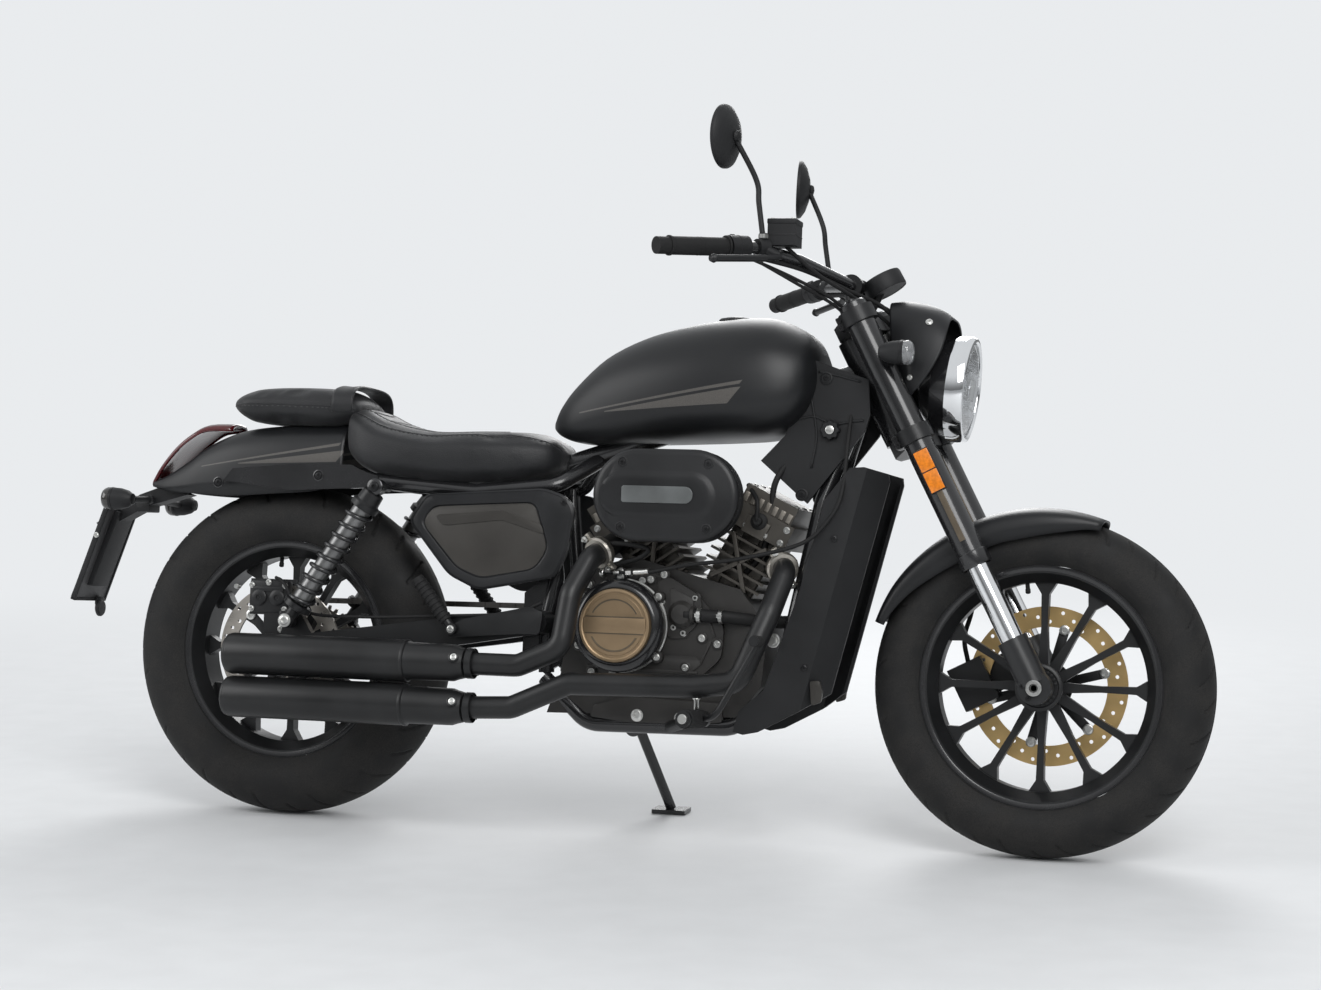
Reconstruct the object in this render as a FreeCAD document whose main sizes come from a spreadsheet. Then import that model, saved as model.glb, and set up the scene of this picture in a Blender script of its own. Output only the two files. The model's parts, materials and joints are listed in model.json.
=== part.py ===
import FreeCAD, Part
import Sketcher
import math
import os
from FreeCAD import Placement, Rotation, Vector

# Cruiser motorcycle leaning on its side stand.
# The bike is drawn upright: X runs forward from the rear axle, Y to the rider's left,
# Z up from the floor. Every finished sub-part then gets the same lean and shift.

os.makedirs("parts", exist_ok=True)
doc = FreeCAD.newDocument("cruiser")
sheet = doc.addObject("Spreadsheet::Sheet", "Sizes")

# alias, millimetres or degrees
SIZES = [
    # Stance and steering geometry
    ("wheelbase", 1485.0),
    ("lean", 6.17),
    ("rake", 27.5),
    ("fork_offset", 40.0),
    ("fork_half_spacing", 105.0),
    ("running_gap", 0.3),
    ("seam", 0.4),
    # Wheels
    ("front_tyre_radius", 312.0),
    ("front_tyre_half", 62.0),
    ("front_rim_radius", 222.0),
    ("front_rim_half", 46.0),
    ("rear_tyre_radius", 323.0),
    ("rear_tyre_half", 76.0),
    ("rear_rim_radius", 213.0),
    ("rear_rim_half", 58.0),
    ("rim_depth", 26.0),
    ("hub_radius", 34.0),
    ("front_hub_half", 60.0),
    ("rear_hub_half", 72.0),
    ("rear_hub_left", 88.0),
    ("front_hub_left", 60.0),
    ("spoke_count", 12.0),
    ("spoke_width", 13.0),
    ("spoke_depth", 24.0),
    ("axle_radius", 10.0),
    ("axle_bore", 6.0),
    ("front_disc_radius", 148.0),
    ("rear_disc_radius", 126.0),
    ("disc_thickness", 5.0),
    ("sprocket_radius", 91.07),
    ("sprocket_teeth", 36.0),
    # Front fork, measured along the legs from the axle
    ("tube_radius", 27.0),
    ("slider_radius", 21.5),
    ("casting_radius", 28.0),
    ("casting_top", 96.0),
    ("seal_height", 244.0),
    ("fork_length", 774.0),
    ("lower_clamp_height", 494.0),
    ("upper_clamp_height", 738.0),
    ("clamp_thickness", 28.0),
    ("stem_radius", 15.0),
    ("head_tube_radius", 31.0),
    ("bar_radius", 11.1),
    ("grip_radius", 16.5),
    # Frame
    ("frame_tube_radius", 15.0),
    ("spine_radius", 20.0),
    ("cradle_half", 86.0),
    ("pivot_x", 545.0),
    ("pivot_z", 395.0),
    ("arm_half", 122.0),
    ("arm_width", 26.0),
    ("arm_height", 46.0),
    # Engine
    ("crank_x", 848.0),
    ("crank_z", 372.0),
    ("front_cylinder_lean", 26.5),
    ("rear_cylinder_lean", 34.0),
    ("case_half", 118.0),
    ("clutch_x", 709.0),
    ("clutch_z", 395.0),
    ("clutch_radius", 86.0),
    # Exhaust
    ("header_radius", 21.0),
    ("muffler_radius", 39.5),
    ("muffler_y", 212.0),
    ("muffler_front", 450.0),
    ("muffler_rear", -48.0),
    ("muffler_upper_z", 314.0),
    ("muffler_lower_z", 232.0),
    # Side stand
    ("stand_pivot_x", 672.0),
    ("stand_pivot_y", 146.0),
    ("stand_pivot_z", 199.0),
    ("stand_foot_x", 722.0),
    ("stand_foot_y", 232.0),
    ("stand_leg_radius", 10.0),
]
for row, (alias, number) in enumerate(SIZES, start=1):
    sheet.set("A%d" % row, alias)
    sheet.set("B%d" % row, str(number))
    sheet.setAlias("B%d" % row, alias)
doc.recompute()


class CellReader:
    """Reads a cell of the sheet by its alias."""

    def __getattr__(self, alias):
        return float(sheet.get(alias))


cell = CellReader()
UP = Vector(0, 0, 1)
LEFT = Vector(0, 1, 0)
AHEAD = Vector(1, 0, 0)
nodes = {}
upright = {}


def value(size):
    """A size as a number, whether it is a number or an expression on the sheet."""
    return float(sheet.evalExpression(size.replace("Sizes.", ""))) if isinstance(size, str) else float(size)


def bind(thing, name, size):
    """Sets a property from a number or ties it to the sheet."""
    if isinstance(size, str):
        thing.setExpression(name, size)
    else:
        setattr(thing, name, size)


def turned_to(direction):
    """The rotation that takes Z to a direction."""
    return Rotation(UP, direction)


def cylinder(name, radius, start, end):
    """A round bar from one point to another."""
    bar = doc.addObject("Part::Cylinder", name)
    bind(bar, "Radius", radius)
    bar.Height = (end - start).Length
    bar.Placement = Placement(start, turned_to(end - start))
    return bar


def block(name, low, high, place=None):
    """A box between two corners, in the frame that place gives."""
    box = doc.addObject("Part::Box", name)
    box.Length = high.x - low.x
    box.Width = high.y - low.y
    box.Height = high.z - low.z
    box.Placement = (place or Placement()).multiply(Placement(low, Rotation()))
    return box


def fuse(name, parts):
    """Overlapping shapes joined into one piece."""
    whole = doc.addObject("Part::MultiFuse", name)
    whole.Shapes = parts
    whole.Refine = True
    return whole


def together(name, parts):
    """Like pieces that do not touch, kept in one sub-part."""
    group = doc.addObject("Part::Compound", name)
    group.Links = parts
    return group


def cut(name, base, tools):
    """A piece with its neighbours' shapes taken out of it."""
    if len(tools) == 1:
        tool = tools[0]
    else:
        tool = together(name + "_tools", tools)
    result = doc.addObject("Part::Cut", name)
    result.Base = base
    result.Tool = tool
    result.Refine = True
    return result


def feature(name, shape):
    """A piece whose form is worked out from the sheet by Part's own functions."""
    thing = doc.addObject("Part::Feature", name)
    thing.Shape = shape
    return thing


def plane_of(body, role):
    return [item for item in body.Origin.OriginFeatures if item.Role == role][0]


def outline(body, name, role, corners):
    """A closed sketch of straight lines whose corners are tied to the sheet."""
    sketch = body.newObject("Sketcher::SketchObject", name)
    sketch.AttachmentSupport = [(plane_of(body, role), "")]
    sketch.MapMode = "FlatFace"
    points = [Vector(value(u), value(v), 0) for u, v in corners]
    for start, end in zip(points, points[1:] + points[:1]):
        sketch.addGeometry(Part.LineSegment(start, end), False)
    count = len(points)
    for i in range(count):
        sketch.addConstraint(Sketcher.Constraint("Coincident", i, 2, (i + 1) % count, 1))
    for i, corner in enumerate(corners):
        for axis, size in zip(("DistanceX", "DistanceY"), corner):
            if isinstance(size, str):
                index = sketch.addConstraint(Sketcher.Constraint(axis, -1, 1, i, 1, value(size)))
                sketch.setExpression("Constraints[%d]" % index, size)
    return sketch


def turning(name, corners, place, angle=360.0):
    """A body turned about its own Z; corners are (radius, height) pairs."""
    body = doc.addObject("PartDesign::Body", name)
    sketch = outline(body, name + "_profile", "XZ_Plane", corners)
    turn = body.newObject("PartDesign::Revolution", name + "_turn")
    turn.Profile = sketch
    turn.ReferenceAxis = (sketch, ["V_Axis"])
    turn.Angle = angle
    body.Tip = turn
    body.Placement = place
    return body


def slab(name, corners, low, high, place=None):
    """A plate cut to a side view: corners are (x, z) pairs, low and high its Y limits."""
    body = doc.addObject("PartDesign::Body", name)
    sketch = outline(body, name + "_profile", "XZ_Plane", corners)
    pad = body.newObject("PartDesign::Pad", name + "_pad")
    pad.Profile = sketch
    pad.Length = high - low
    pad.Reversed = True
    body.Tip = pad
    body.Placement = (place or Placement()).multiply(Placement(Vector(0, low, 0), Rotation()))
    return body


def rounded_path(points, bend):
    """Straight runs joined by tangent arcs."""
    edges = []
    here = points[0]
    for before, corner, after in zip(points, points[1:], points[2:]):
        back = (before - corner).normalize()
        on = (after - corner).normalize()
        turn = math.pi - back.getAngle(on)
        trim = bend * math.tan(turn / 2)
        start = corner + back * trim
        end = corner + on * trim
        middle = corner + (back + on).normalize() * (bend / math.cos(turn / 2) - bend)
        edges.append(Part.LineSegment(here, start).toShape())
        edges.append(Part.Arc(start, middle, end).toShape())
        here = end
    edges.append(Part.LineSegment(here, points[-1]).toShape())
    return Part.Wire(edges)


def pipe(name, radius, points, bend):
    """A round tube swept along straight runs and arcs."""
    path = feature(name + "_path", rounded_path(points, bend))
    ring = doc.addObject("Part::Circle", name + "_ring")
    bind(ring, "Radius", radius)
    ring.Placement = Placement(points[0], turned_to(points[1] - points[0]))
    sweep = doc.addObject("Part::Sweep", name)
    sweep.Sections = [ring]
    sweep.Spine = (path, ["Edge%d" % (i + 1) for i in range(len(path.Shape.Edges))])
    sweep.Solid = True
    sweep.Frenet = False
    return sweep


def rounded_section(corners):
    """A closed wire through corners (point, radius) with each corner rounded."""
    edges = []
    count = len(corners)
    trims = []
    for i, (corner, radius) in enumerate(corners):
        before = corners[i - 1][0]
        after = corners[(i + 1) % count][0]
        back = (before - corner).normalize()
        on = (after - corner).normalize()
        turn = math.pi - back.getAngle(on)
        trim = radius * math.tan(turn / 2)
        middle = corner + (back + on).normalize() * (radius / math.cos(turn / 2) - radius)
        trims.append((corner + back * trim, middle, corner + on * trim))
    for i in range(count):
        start, middle, end = trims[i]
        edges.append(Part.Arc(start, middle, end).toShape())
        edges.append(Part.LineSegment(end, trims[(i + 1) % count][0]).toShape())
    return Part.Wire(edges)


def loft(name, sections):
    """A skin over a few rounded sections."""
    return feature(name, Part.makeLoft([rounded_section(s) for s in sections], True, False))


def keep(name, piece):
    """Wraps a finished piece as the sub-part that leans with the bike, and keeps the upright one."""
    upright[name] = piece
    nodes[name] = together(name, [piece])
    nodes[name].Label = name
    return piece


def both_sides(name, make):
    """The same piece on the right (-1) and the left (+1)."""
    return together(name, [make(side, "right" if side < 0 else "left") for side in (-1, 1)])


front_axle = Vector(cell.wheelbase, 0, cell.front_tyre_radius)
rear_axle = Vector(0, 0, cell.rear_tyre_radius)
along_axle = turned_to(LEFT)
# The fork's own frame: Z up along the legs from the axle, X ahead, Y left.
fork_frame = Placement(front_axle, Rotation(LEFT, -cell.rake))


def in_fork(x, y, z):
    return fork_frame.multVec(Vector(x, y, z))


def wheel_place(axle):
    return Placement(axle, along_axle)


def make_tyre(end, axle):
    """Tyre carcass: crown, shoulders, walls and the beads that sit in the rim."""
    outer = "Sizes.%s_tyre_radius" % end
    half = "Sizes.%s_tyre_half" % end
    rim = "Sizes.%s_rim_radius" % end
    seat = "Sizes.%s_rim_half" % end
    side = [
        (outer, half + " * 0.16"),
        (outer + " - %s * 0.17" % half, half + " * 0.62"),
        (outer + " - %s * 0.48" % half, half + " * 0.93"),
        (outer + " - %s * 0.8" % half, half),
        (rim + " + Sizes.seam", seat + " + 1"),
        (rim + " + Sizes.seam", seat + " - 5.4"),
        (rim + " - 9.6", seat + " - 6.4"),
        (rim + " - 9.6", seat + " - 20"),
        (outer + " - 14", half + " * 0.45"),
    ]
    other = [(radius, "-(" + height + ")") for radius, height in reversed(side)]
    return turning(end + "_tyre_body", side + other, wheel_place(axle))


def make_wheel(end, axle):
    """Cast wheel: hub, thin blades spread at the rim, and the rim with its well."""
    body = doc.addObject("PartDesign::Body", end + "_wheel_body")
    hub = outline(
        body,
        end + "_hub_profile",
        "XZ_Plane",
        [
            ("Sizes.axle_radius + Sizes.running_gap", "Sizes.%s_hub_left" % end),
            ("Sizes.hub_radius", "Sizes.%s_hub_left" % end),
            ("Sizes.hub_radius", "-Sizes.%s_hub_half" % end),
            ("Sizes.axle_radius + Sizes.running_gap", "-Sizes.%s_hub_half" % end),
        ],
    )
    turn = body.newObject("PartDesign::Revolution", end + "_hub")
    turn.Profile = hub
    turn.ReferenceAxis = (hub, ["V_Axis"])
    turn.Angle = 360.0
    rim_inner = "Sizes.%s_rim_radius - Sizes.rim_depth - 4" % end
    wide = "Sizes.spoke_width"
    spoke = outline(
        body,
        end + "_spoke_profile",
        "XY_Plane",
        [
            ("Sizes.hub_radius - 6", wide + " * 0.8"),
            ("(%s) * 0.55" % rim_inner, wide + " * 0.45"),
            ("(%s) - 22" % rim_inner, wide + " * 0.55"),
            ("(%s) + 2" % rim_inner, wide + " * 1.7"),
            ("(%s) + 2" % rim_inner, "-" + wide + " * 1.7"),
            ("(%s) - 22" % rim_inner, "-" + wide + " * 0.55"),
            ("(%s) * 0.55" % rim_inner, "-" + wide + " * 0.45"),
            ("Sizes.hub_radius - 6", "-" + wide + " * 0.8"),
        ],
    )
    blade = body.newObject("PartDesign::Pad", end + "_spoke")
    blade.Profile = spoke
    blade.setExpression("Length", "Sizes.spoke_depth")
    blade.Midplane = True
    ring = body.newObject("PartDesign::PolarPattern", end + "_spokes")
    ring.Originals = [blade]
    ring.Axis = (spoke, ["N_Axis"])
    ring.Angle = 360.0
    ring.Occurrences = int(cell.spoke_count)
    body.Tip = ring
    flange = "Sizes.%s_rim_radius" % end
    half = "Sizes.%s_rim_half" % end
    well = flange + " - Sizes.rim_depth"
    section = [
        (flange, half),
        (flange, half + " - 5"),
        (flange + " - 10", half + " - 6"),
        (flange + " - 10", half + " - 22"),
        (well, half + " - 32"),
    ]
    across = [(radius, "-(" + height + ")") for radius, height in reversed(section)]
    inside = [
        (flange + " - 14", "-(%s)" % half),
        (well + " - 5", "-(%s - 26)" % half),
        (well + " - 5", half + " - 26"),
        (flange + " - 14", half),
    ]
    rim = outline(body, end + "_rim_profile", "XZ_Plane", section + across + inside)
    band = body.newObject("PartDesign::Revolution", end + "_rim")
    band.Profile = rim
    band.ReferenceAxis = (rim, ["V_Axis"])
    band.Angle = 360.0
    body.Tip = band
    body.Placement = wheel_place(axle)
    return body


def make_disc(name, radius, y, hub_half, axle):
    """Brake disc: a flat ring on arms from the side of the hub."""
    outer = turning(
        name + "_ring",
        [
            ("%s" % radius, 0.0),
            ("%s" % radius, "Sizes.disc_thickness"),
            ("%s * 0.74" % radius, "Sizes.disc_thickness"),
            ("%s * 0.74" % radius, 0.0),
        ],
        Placement(axle + Vector(0, y, 0), along_axle),
    )
    reach = value(radius) * 0.76
    arms = []
    for i in range(6):
        arm = doc.addObject("Part::Box", "%s_arm_%d" % (name, i))
        arm.Length = reach - 40
        arm.Width = 12
        bind(arm, "Height", "Sizes.disc_thickness")
        spin = Placement(axle + Vector(0, y, 0), along_axle)
        spin = spin.multiply(Placement(Vector(), Rotation(UP, 60.0 * i + 15)))
        arm.Placement = spin.multiply(Placement(Vector(40, -6, 0), Rotation()))
        arms.append(arm)
    bore = turning(
        name + "_carrier",
        [
            ("Sizes.axle_radius + Sizes.running_gap + 4", 0.0),
            (46.0, 0.0),
            (46.0, "Sizes.disc_thickness"),
            ("Sizes.axle_radius + Sizes.running_gap + 4", "Sizes.disc_thickness"),
        ],
        Placement(axle + Vector(0, y, 0), along_axle),
    )
    return fuse(name + "_whole", [outer, bore] + arms)


keep("front_tyre", make_tyre("front", front_axle))
keep("rear_tyre", make_tyre("rear", rear_axle))
keep("front_wheel", make_wheel("front", front_axle))
keep("rear_wheel", make_wheel("rear", rear_axle))
keep("front_disc", make_disc("front_disc", "Sizes.front_disc_radius", cell.front_hub_half, 0, front_axle))
rear_disc_low = -cell.rear_hub_half - cell.disc_thickness
keep("rear_disc", make_disc("rear_disc", "Sizes.rear_disc_radius", rear_disc_low, 0, rear_axle))


def make_sprocket():
    """Final drive sprocket with flat-topped teeth."""
    body = doc.addObject("PartDesign::Body", "sprocket_body")
    disc = outline(
        body,
        "sprocket_profile",
        "XZ_Plane",
        [
            ("Sizes.axle_radius + Sizes.running_gap + 6", 0.0),
            ("Sizes.sprocket_radius - 6", 0.0),
            ("Sizes.sprocket_radius - 6", 7.0),
            ("Sizes.axle_radius + Sizes.running_gap + 6", 7.0),
        ],
    )
    turn = body.newObject("PartDesign::Revolution", "sprocket_disc")
    turn.Profile = disc
    turn.ReferenceAxis = (disc, ["V_Axis"])
    turn.Angle = 360.0
    tooth_sketch = outline(
        body,
        "tooth_profile",
        "XY_Plane",
        [
            ("Sizes.sprocket_radius - 8", 3.6),
            ("Sizes.sprocket_radius + 2", 1.4),
            ("Sizes.sprocket_radius + 2", -1.4),
            ("Sizes.sprocket_radius - 8", -3.6),
        ],
    )
    tooth = body.newObject("PartDesign::Pad", "tooth")
    tooth.Profile = tooth_sketch
    tooth.Length = 7.0
    teeth = body.newObject("PartDesign::PolarPattern", "teeth")
    teeth.Originals = [tooth]
    teeth.Axis = (tooth_sketch, ["N_Axis"])
    teeth.Angle = 360.0
    teeth.Occurrences = int(cell.sprocket_teeth)
    body.Tip = teeth
    body.Placement = Placement(rear_axle + Vector(0, cell.rear_hub_left, 0), along_axle)
    return body


keep("rear_sprocket", make_sprocket())


# Front end, in the fork's frame

def make_fork_tube(side, hand):
    """Outer tube held by both clamps, bored for the slider."""
    y = side * cell.fork_half_spacing
    tube = cylinder(
        "fork_tube_" + hand, "Sizes.tube_radius", in_fork(0, y, cell.seal_height), in_fork(0, y, cell.fork_length)
    )
    bore = cylinder(
        "fork_bore_" + hand,
        "Sizes.slider_radius",
        in_fork(0, y, cell.seal_height - 1),
        in_fork(0, y, cell.seal_height + 60),
    )
    return cut("fork_tube_bored_" + hand, tube, [bore])


def make_slider(side, hand):
    """Bright slider and the casting that clamps the axle."""
    y = side * cell.fork_half_spacing
    slider = cylinder(
        "slider_" + hand, "Sizes.slider_radius", in_fork(0, y, 0), in_fork(0, y, cell.seal_height + 59)
    )
    casting = cylinder(
        "casting_" + hand, "Sizes.casting_radius", in_fork(0, y, 8), in_fork(0, y, cell.casting_top)
    )
    lug = cylinder(
        "lug_" + hand,
        "Sizes.casting_radius + 2",
        in_fork(0, y - 20, 0),
        in_fork(0, y + 20, 0),
    )
    whole = fuse("slider_whole_" + hand, [slider, casting, lug])
    bore = cylinder("axle_seat_" + hand, "Sizes.axle_radius", in_fork(0, y - 30, 0), in_fork(0, y + 30, 0))
    return cut("slider_bored_" + hand, whole, [bore])


keep("fork_tubes", both_sides("fork_tube_pair", make_fork_tube))
keep("fork_sliders", both_sides("slider_pair", make_slider))

axle_reach = cell.fork_half_spacing + 26
lug_inner = cell.fork_half_spacing - 20


def make_front_axle():
    """Axle with the sleeves that hold the wheel midway between the lugs."""
    bar = cylinder("front_axle_bar", "Sizes.axle_radius", in_fork(0, -axle_reach, 0), in_fork(0, axle_reach, 0))
    right_end = -cell.front_hub_half - cell.running_gap
    left_end = cell.front_hub_half + cell.disc_thickness + cell.running_gap
    right = cylinder("front_sleeve_right", 16.0, in_fork(0, -lug_inner, 0), in_fork(0, right_end, 0))
    left = cylinder("front_sleeve_left", 16.0, in_fork(0, left_end, 0), in_fork(0, lug_inner, 0))
    return fuse("front_axle_whole", [bar, right, left])


axle_hole = cylinder("front_axle_hole", "Sizes.axle_bore", in_fork(0, -axle_reach - 1, 0), in_fork(0, axle_reach + 1, 0))
keep("front_axle", cut("front_axle_hollow", make_front_axle(), [axle_hole, upright["fork_sliders"]]))


# left half of the bar: x, y, z
BAR_POINTS = [
    (1112.0, 60.0, 1043.0),
    (1046.0, 196.0, 1070.0),
    (985.0, 292.0, 1081.0),
    (862.0, 430.0, 1066.0),
]


def make_handlebar():
    left = [Vector(x, y, z) for x, y, z in BAR_POINTS]
    right = [Vector(x, -y, z) for x, y, z in reversed(BAR_POINTS)]
    return pipe("bar", "Sizes.bar_radius", right + left, 45.0)


handlebar = keep("handlebar", make_handlebar())


# plan of a clamp: distance ahead of the legs, distance out from the middle
CLAMP_HALF_PLAN = [("-Sizes.fork_offset - 22", "28"), ("-20", "Sizes.fork_half_spacing"), ("20", "Sizes.fork_half_spacing"), ("10", "40")]
CLAMP_PLAN = [(x, y) for x, y in CLAMP_HALF_PLAN]
CLAMP_PLAN += [(x, "-(" + y + ")") for x, y in reversed(CLAMP_HALF_PLAN)]


def make_clamps():
    """Two clamps on the legs joined by the steering stem, with the risers that grip the bar."""
    low = cell.lower_clamp_height
    high = cell.upper_clamp_height
    thick = cell.clamp_thickness
    pieces = []
    flat = fork_frame.multiply(Placement(Vector(), Rotation(AHEAD, 90.0)))
    for name, height in (("lower_clamp", low), ("upper_clamp", high)):
        pieces.append(slab(name + "_bridge", CLAMP_PLAN, height, height + thick, flat))
        for side in (-1, 1):
            y = side * cell.fork_half_spacing
            pieces.append(
                cylinder(
                    "%s_eye_%d" % (name, side), "Sizes.tube_radius + 7", in_fork(0, y, height), in_fork(0, y, height + thick)
                )
            )
    pieces.append(
        cylinder(
            "stem",
            "Sizes.stem_radius",
            in_fork(-cell.fork_offset, 0, low + 5),
            in_fork(-cell.fork_offset, 0, high + thick + 8),
        )
    )
    for side in (-1, 1):
        y = side * 42.0
        pieces.append(cylinder("riser_%d" % side, 15.0, in_fork(-14, y, high + thick - 4), Vector(1112, y, 1034)))
        pieces.append(cylinder("riser_cap_%d" % side, 21.0, Vector(1112, y - 14, 1043), Vector(1112, y + 14, 1043)))
    whole = fuse("clamps_whole", pieces)
    bores = []
    for side in (-1, 1):
        y = side * cell.fork_half_spacing
        bores.append(
            cylinder(
                "clamp_bore_%d" % side, "Sizes.tube_radius", in_fork(0, y, low - 5), in_fork(0, y, high + thick + 5)
            )
        )
    return cut("clamps_bored", whole, bores + [handlebar])


keep("triple_clamps", make_clamps())



def on_bar(side, share, out=0.0):
    """A point on the last straight run of the bar: share 0 at its bend, 1 at its end."""
    inner = Vector(*BAR_POINTS[2])
    outer = Vector(*BAR_POINTS[3])
    point = inner + (outer - inner) * share + (outer - inner).normalize() * out
    return Vector(point.x, side * point.y, point.z)


def make_grip(side, hand):
    """Rubber grip with the weight that closes the bar's end."""
    sleeve = cylinder("grip_sleeve_" + hand, "Sizes.grip_radius", on_bar(side, 0.32), on_bar(side, 1.0))
    weight = cylinder("grip_end_" + hand, "Sizes.grip_radius - 1", on_bar(side, 0.99), on_bar(side, 1.0, 24.0))
    return fuse("grip_whole_" + hand, [sleeve, weight])


grips_raw = both_sides("grip_pair", make_grip)
keep("grips", cut("grips_fitted", grips_raw, [handlebar]))


def make_controls(side, hand):
    """Switch housing, perch, reservoir on the right, and lever."""
    housing = cylinder("switch_" + hand, 21.0, on_bar(side, 0.1), on_bar(side, 0.315))
    perch = cylinder("perch_" + hand, 16.0, on_bar(side, -0.14), on_bar(side, -0.02))
    pivot = on_bar(side, -0.08) + Vector(34, 0, -16)
    arm = cylinder("perch_arm_" + hand, 9.0, on_bar(side, -0.08), pivot)
    tip = on_bar(side, 0.86) + Vector(62, 0, -22)
    lever = pipe("lever_" + hand, 5.5, [pivot, on_bar(side, 0.25) + Vector(58, 0, -20), tip], 60.0)
    pieces = [housing, perch, arm, lever]
    if side < 0:
        middle = on_bar(side, -0.25) + Vector(12, 12, 26)
        pieces.append(block("reservoir", middle - Vector(26, 26, 22), middle + Vector(26, 26, 24)))
    return fuse("controls_" + hand, pieces)


controls_raw = both_sides("controls_pair", make_controls)
keep("bar_controls", cut("controls_fitted", controls_raw, [handlebar]))


def make_mirror(side, hand):
    """Stalk and round head of a mirror."""
    foot = on_bar(side, -0.08) + Vector(2, 0, 14)
    elbow = Vector(979, side * 277.0, 1206)
    head = Vector(930, side * 300.0, 1281)
    stalk = pipe("mirror_stalk_" + hand, 5.0, [foot, elbow, head], 60.0)
    facing = Vector(-1, -side * 0.18, 0.03)
    facing.normalize()
    shell = cylinder("mirror_shell_" + hand, 58.0, head + facing * -9, head + facing * 9)
    return fuse("mirror_" + hand, [stalk, shell])


mirrors_raw = both_sides("mirror_pair", make_mirror)
keep("mirrors", cut("mirrors_fitted", mirrors_raw, [upright["bar_controls"]]))

LAMP_CENTRE = Vector(1308, 0, 857)
LAMP_TILT = 5.7
lamp_aim = Vector(math.cos(math.radians(LAMP_TILT)), 0, -math.sin(math.radians(LAMP_TILT)))
lamp_place = Placement(LAMP_CENTRE, turned_to(lamp_aim))
keep(
    "headlight_shell",
    turning(
        "headlight_bucket",
        [(0.0, -66.0), (58.0, -60.0), (86.0, -36.0), (95.0, -4.0), (97.0, 8.0), (97.0, 20.0), (88.0, 20.0), (88.0, 4.0), (0.0, 4.0)],
        lamp_place,
    ),
)
keep(
    "headlight_lens",
    turning("headlight_glass", [(0.0, 4.0), (88.0, 4.0), (88.0, 18.0), (60.0, 26.0), (0.0, 31.0)], lamp_place),
)


def make_cowl():
    """Small visor over the headlight, open behind and below."""
    side_view = [(1179.0, 1017.0), (1299.0, 986.0), (1322.0, 958.0), (1292.0, 925.0), (1231.0, 826.0), (1205.0, 850.0)]
    outer = slab("cowl_outer", side_view, -112.0, 112.0)
    inner_view = [(1150.0, 1010.0), (1294.0, 980.0), (1310.0, 955.0), (1330.0, 900.0), (1240.0, 790.0), (1150.0, 800.0)]
    inner = slab("cowl_inner", inner_view, -107.0, 107.0)
    return cut("cowl_shell", outer, [inner, upright["headlight_shell"], upright["fork_tubes"], upright["triple_clamps"]])


keep("headlight_cowl", make_cowl())


def make_gauge():
    """Round instrument on a post from the upper clamp, facing the rider."""
    centre = Vector(1164, 0, 1050)
    facing = Vector(-0.5, 0, 0.866)
    pod = cylinder("gauge_pod", 38.0, centre - facing * 14, centre + facing * 14)
    post = cylinder("gauge_post", 8.0, in_fork(4, 0, cell.upper_clamp_height + cell.clamp_thickness - 2), centre)
    return cut("gauge_fitted", fuse("gauge_whole", [pod, post]), [upright["triple_clamps"], upright["headlight_cowl"]])


keep("gauge", make_gauge())


def make_front_indicator(side, hand):
    stalk = cylinder("front_indicator_stalk_" + hand, 7.0, Vector(1222, side * 112.0, 905), Vector(1222, side * 150.0, 907))
    pod = cylinder("front_indicator_pod_" + hand, 22.0, Vector(1190, side * 165.0, 908), Vector(1257, side * 165.0, 909))
    return fuse("front_indicator_" + hand, [stalk, pod])


front_indicators_raw = both_sides("front_indicator_pair", make_front_indicator)
keep("front_indicators", cut("front_indicators_fitted", front_indicators_raw, [upright["headlight_cowl"]]))


def make_front_fender():
    """Close-fitting guard with deep sides, carried by the sliders."""
    wheel_r = cell.front_tyre_radius
    half = cell.front_tyre_half
    section = [
        (wheel_r - 38, half + 12),
        (wheel_r - 8, half + 11),
        (wheel_r + 9, half - 4),
        (wheel_r + 15, half - 30),
    ]
    inner = [(r - 3.5 if i > 1 else r, y - 3.5) for i, (r, y) in enumerate(section)]
    ring = section + [(r, -y) for r, y in reversed(section)]
    ring += [(r, -y) for r, y in inner] + [(r, y) for r, y in reversed(inner)]
    guard = turning("fender_band", ring, Placement(), 92.0)
    guard.Placement = Placement(front_axle, Rotation(LEFT, -161.0).multiply(along_axle))
    stay_view = [(1398.0, 590.0), (1452.0, 598.0), (1482.0, 376.0), (1450.0, 362.0)]
    stays = []
    for side in (-1, 1):
        low = side * (half + 14) - 3
        stays.append(slab("fender_stay_%d" % side, stay_view, low, low + 6))
    whole = fuse("fender_whole", [guard] + stays)
    return cut("fender_fitted", whole, [upright["fork_tubes"], upright["fork_sliders"]])


keep("front_fender", make_front_fender())


def make_front_caliper():
    """Caliper on the back of the left slider."""
    disc = cell.front_hub_half
    place = fork_frame
    body = block("front_caliper_block", Vector(-156, disc - 20, 20), Vector(-88, disc + 27, 104), place)
    lug = block("front_caliper_lug", Vector(-92, disc + 14, 30), Vector(-16, disc + 27, 92), place)
    slot = cylinder(
        "front_caliper_slot",
        "Sizes.front_disc_radius + 3",
        in_fork(0, disc - 3, 0),
        in_fork(0, disc + cell.disc_thickness + 3, 0),
    )
    whole = fuse("front_caliper_whole", [body, lug])
    return cut("front_caliper_slotted", whole, [slot, upright["fork_sliders"]])


keep("front_caliper", make_front_caliper())

# Frame

def frame_tube(name, points, bend=60.0, radius="Sizes.frame_tube_radius"):
    vectors = [Vector(*p) for p in points]
    if len(vectors) == 2:
        return cylinder(name, radius, vectors[0], vectors[1])
    return pipe(name, radius, vectors, bend)


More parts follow.
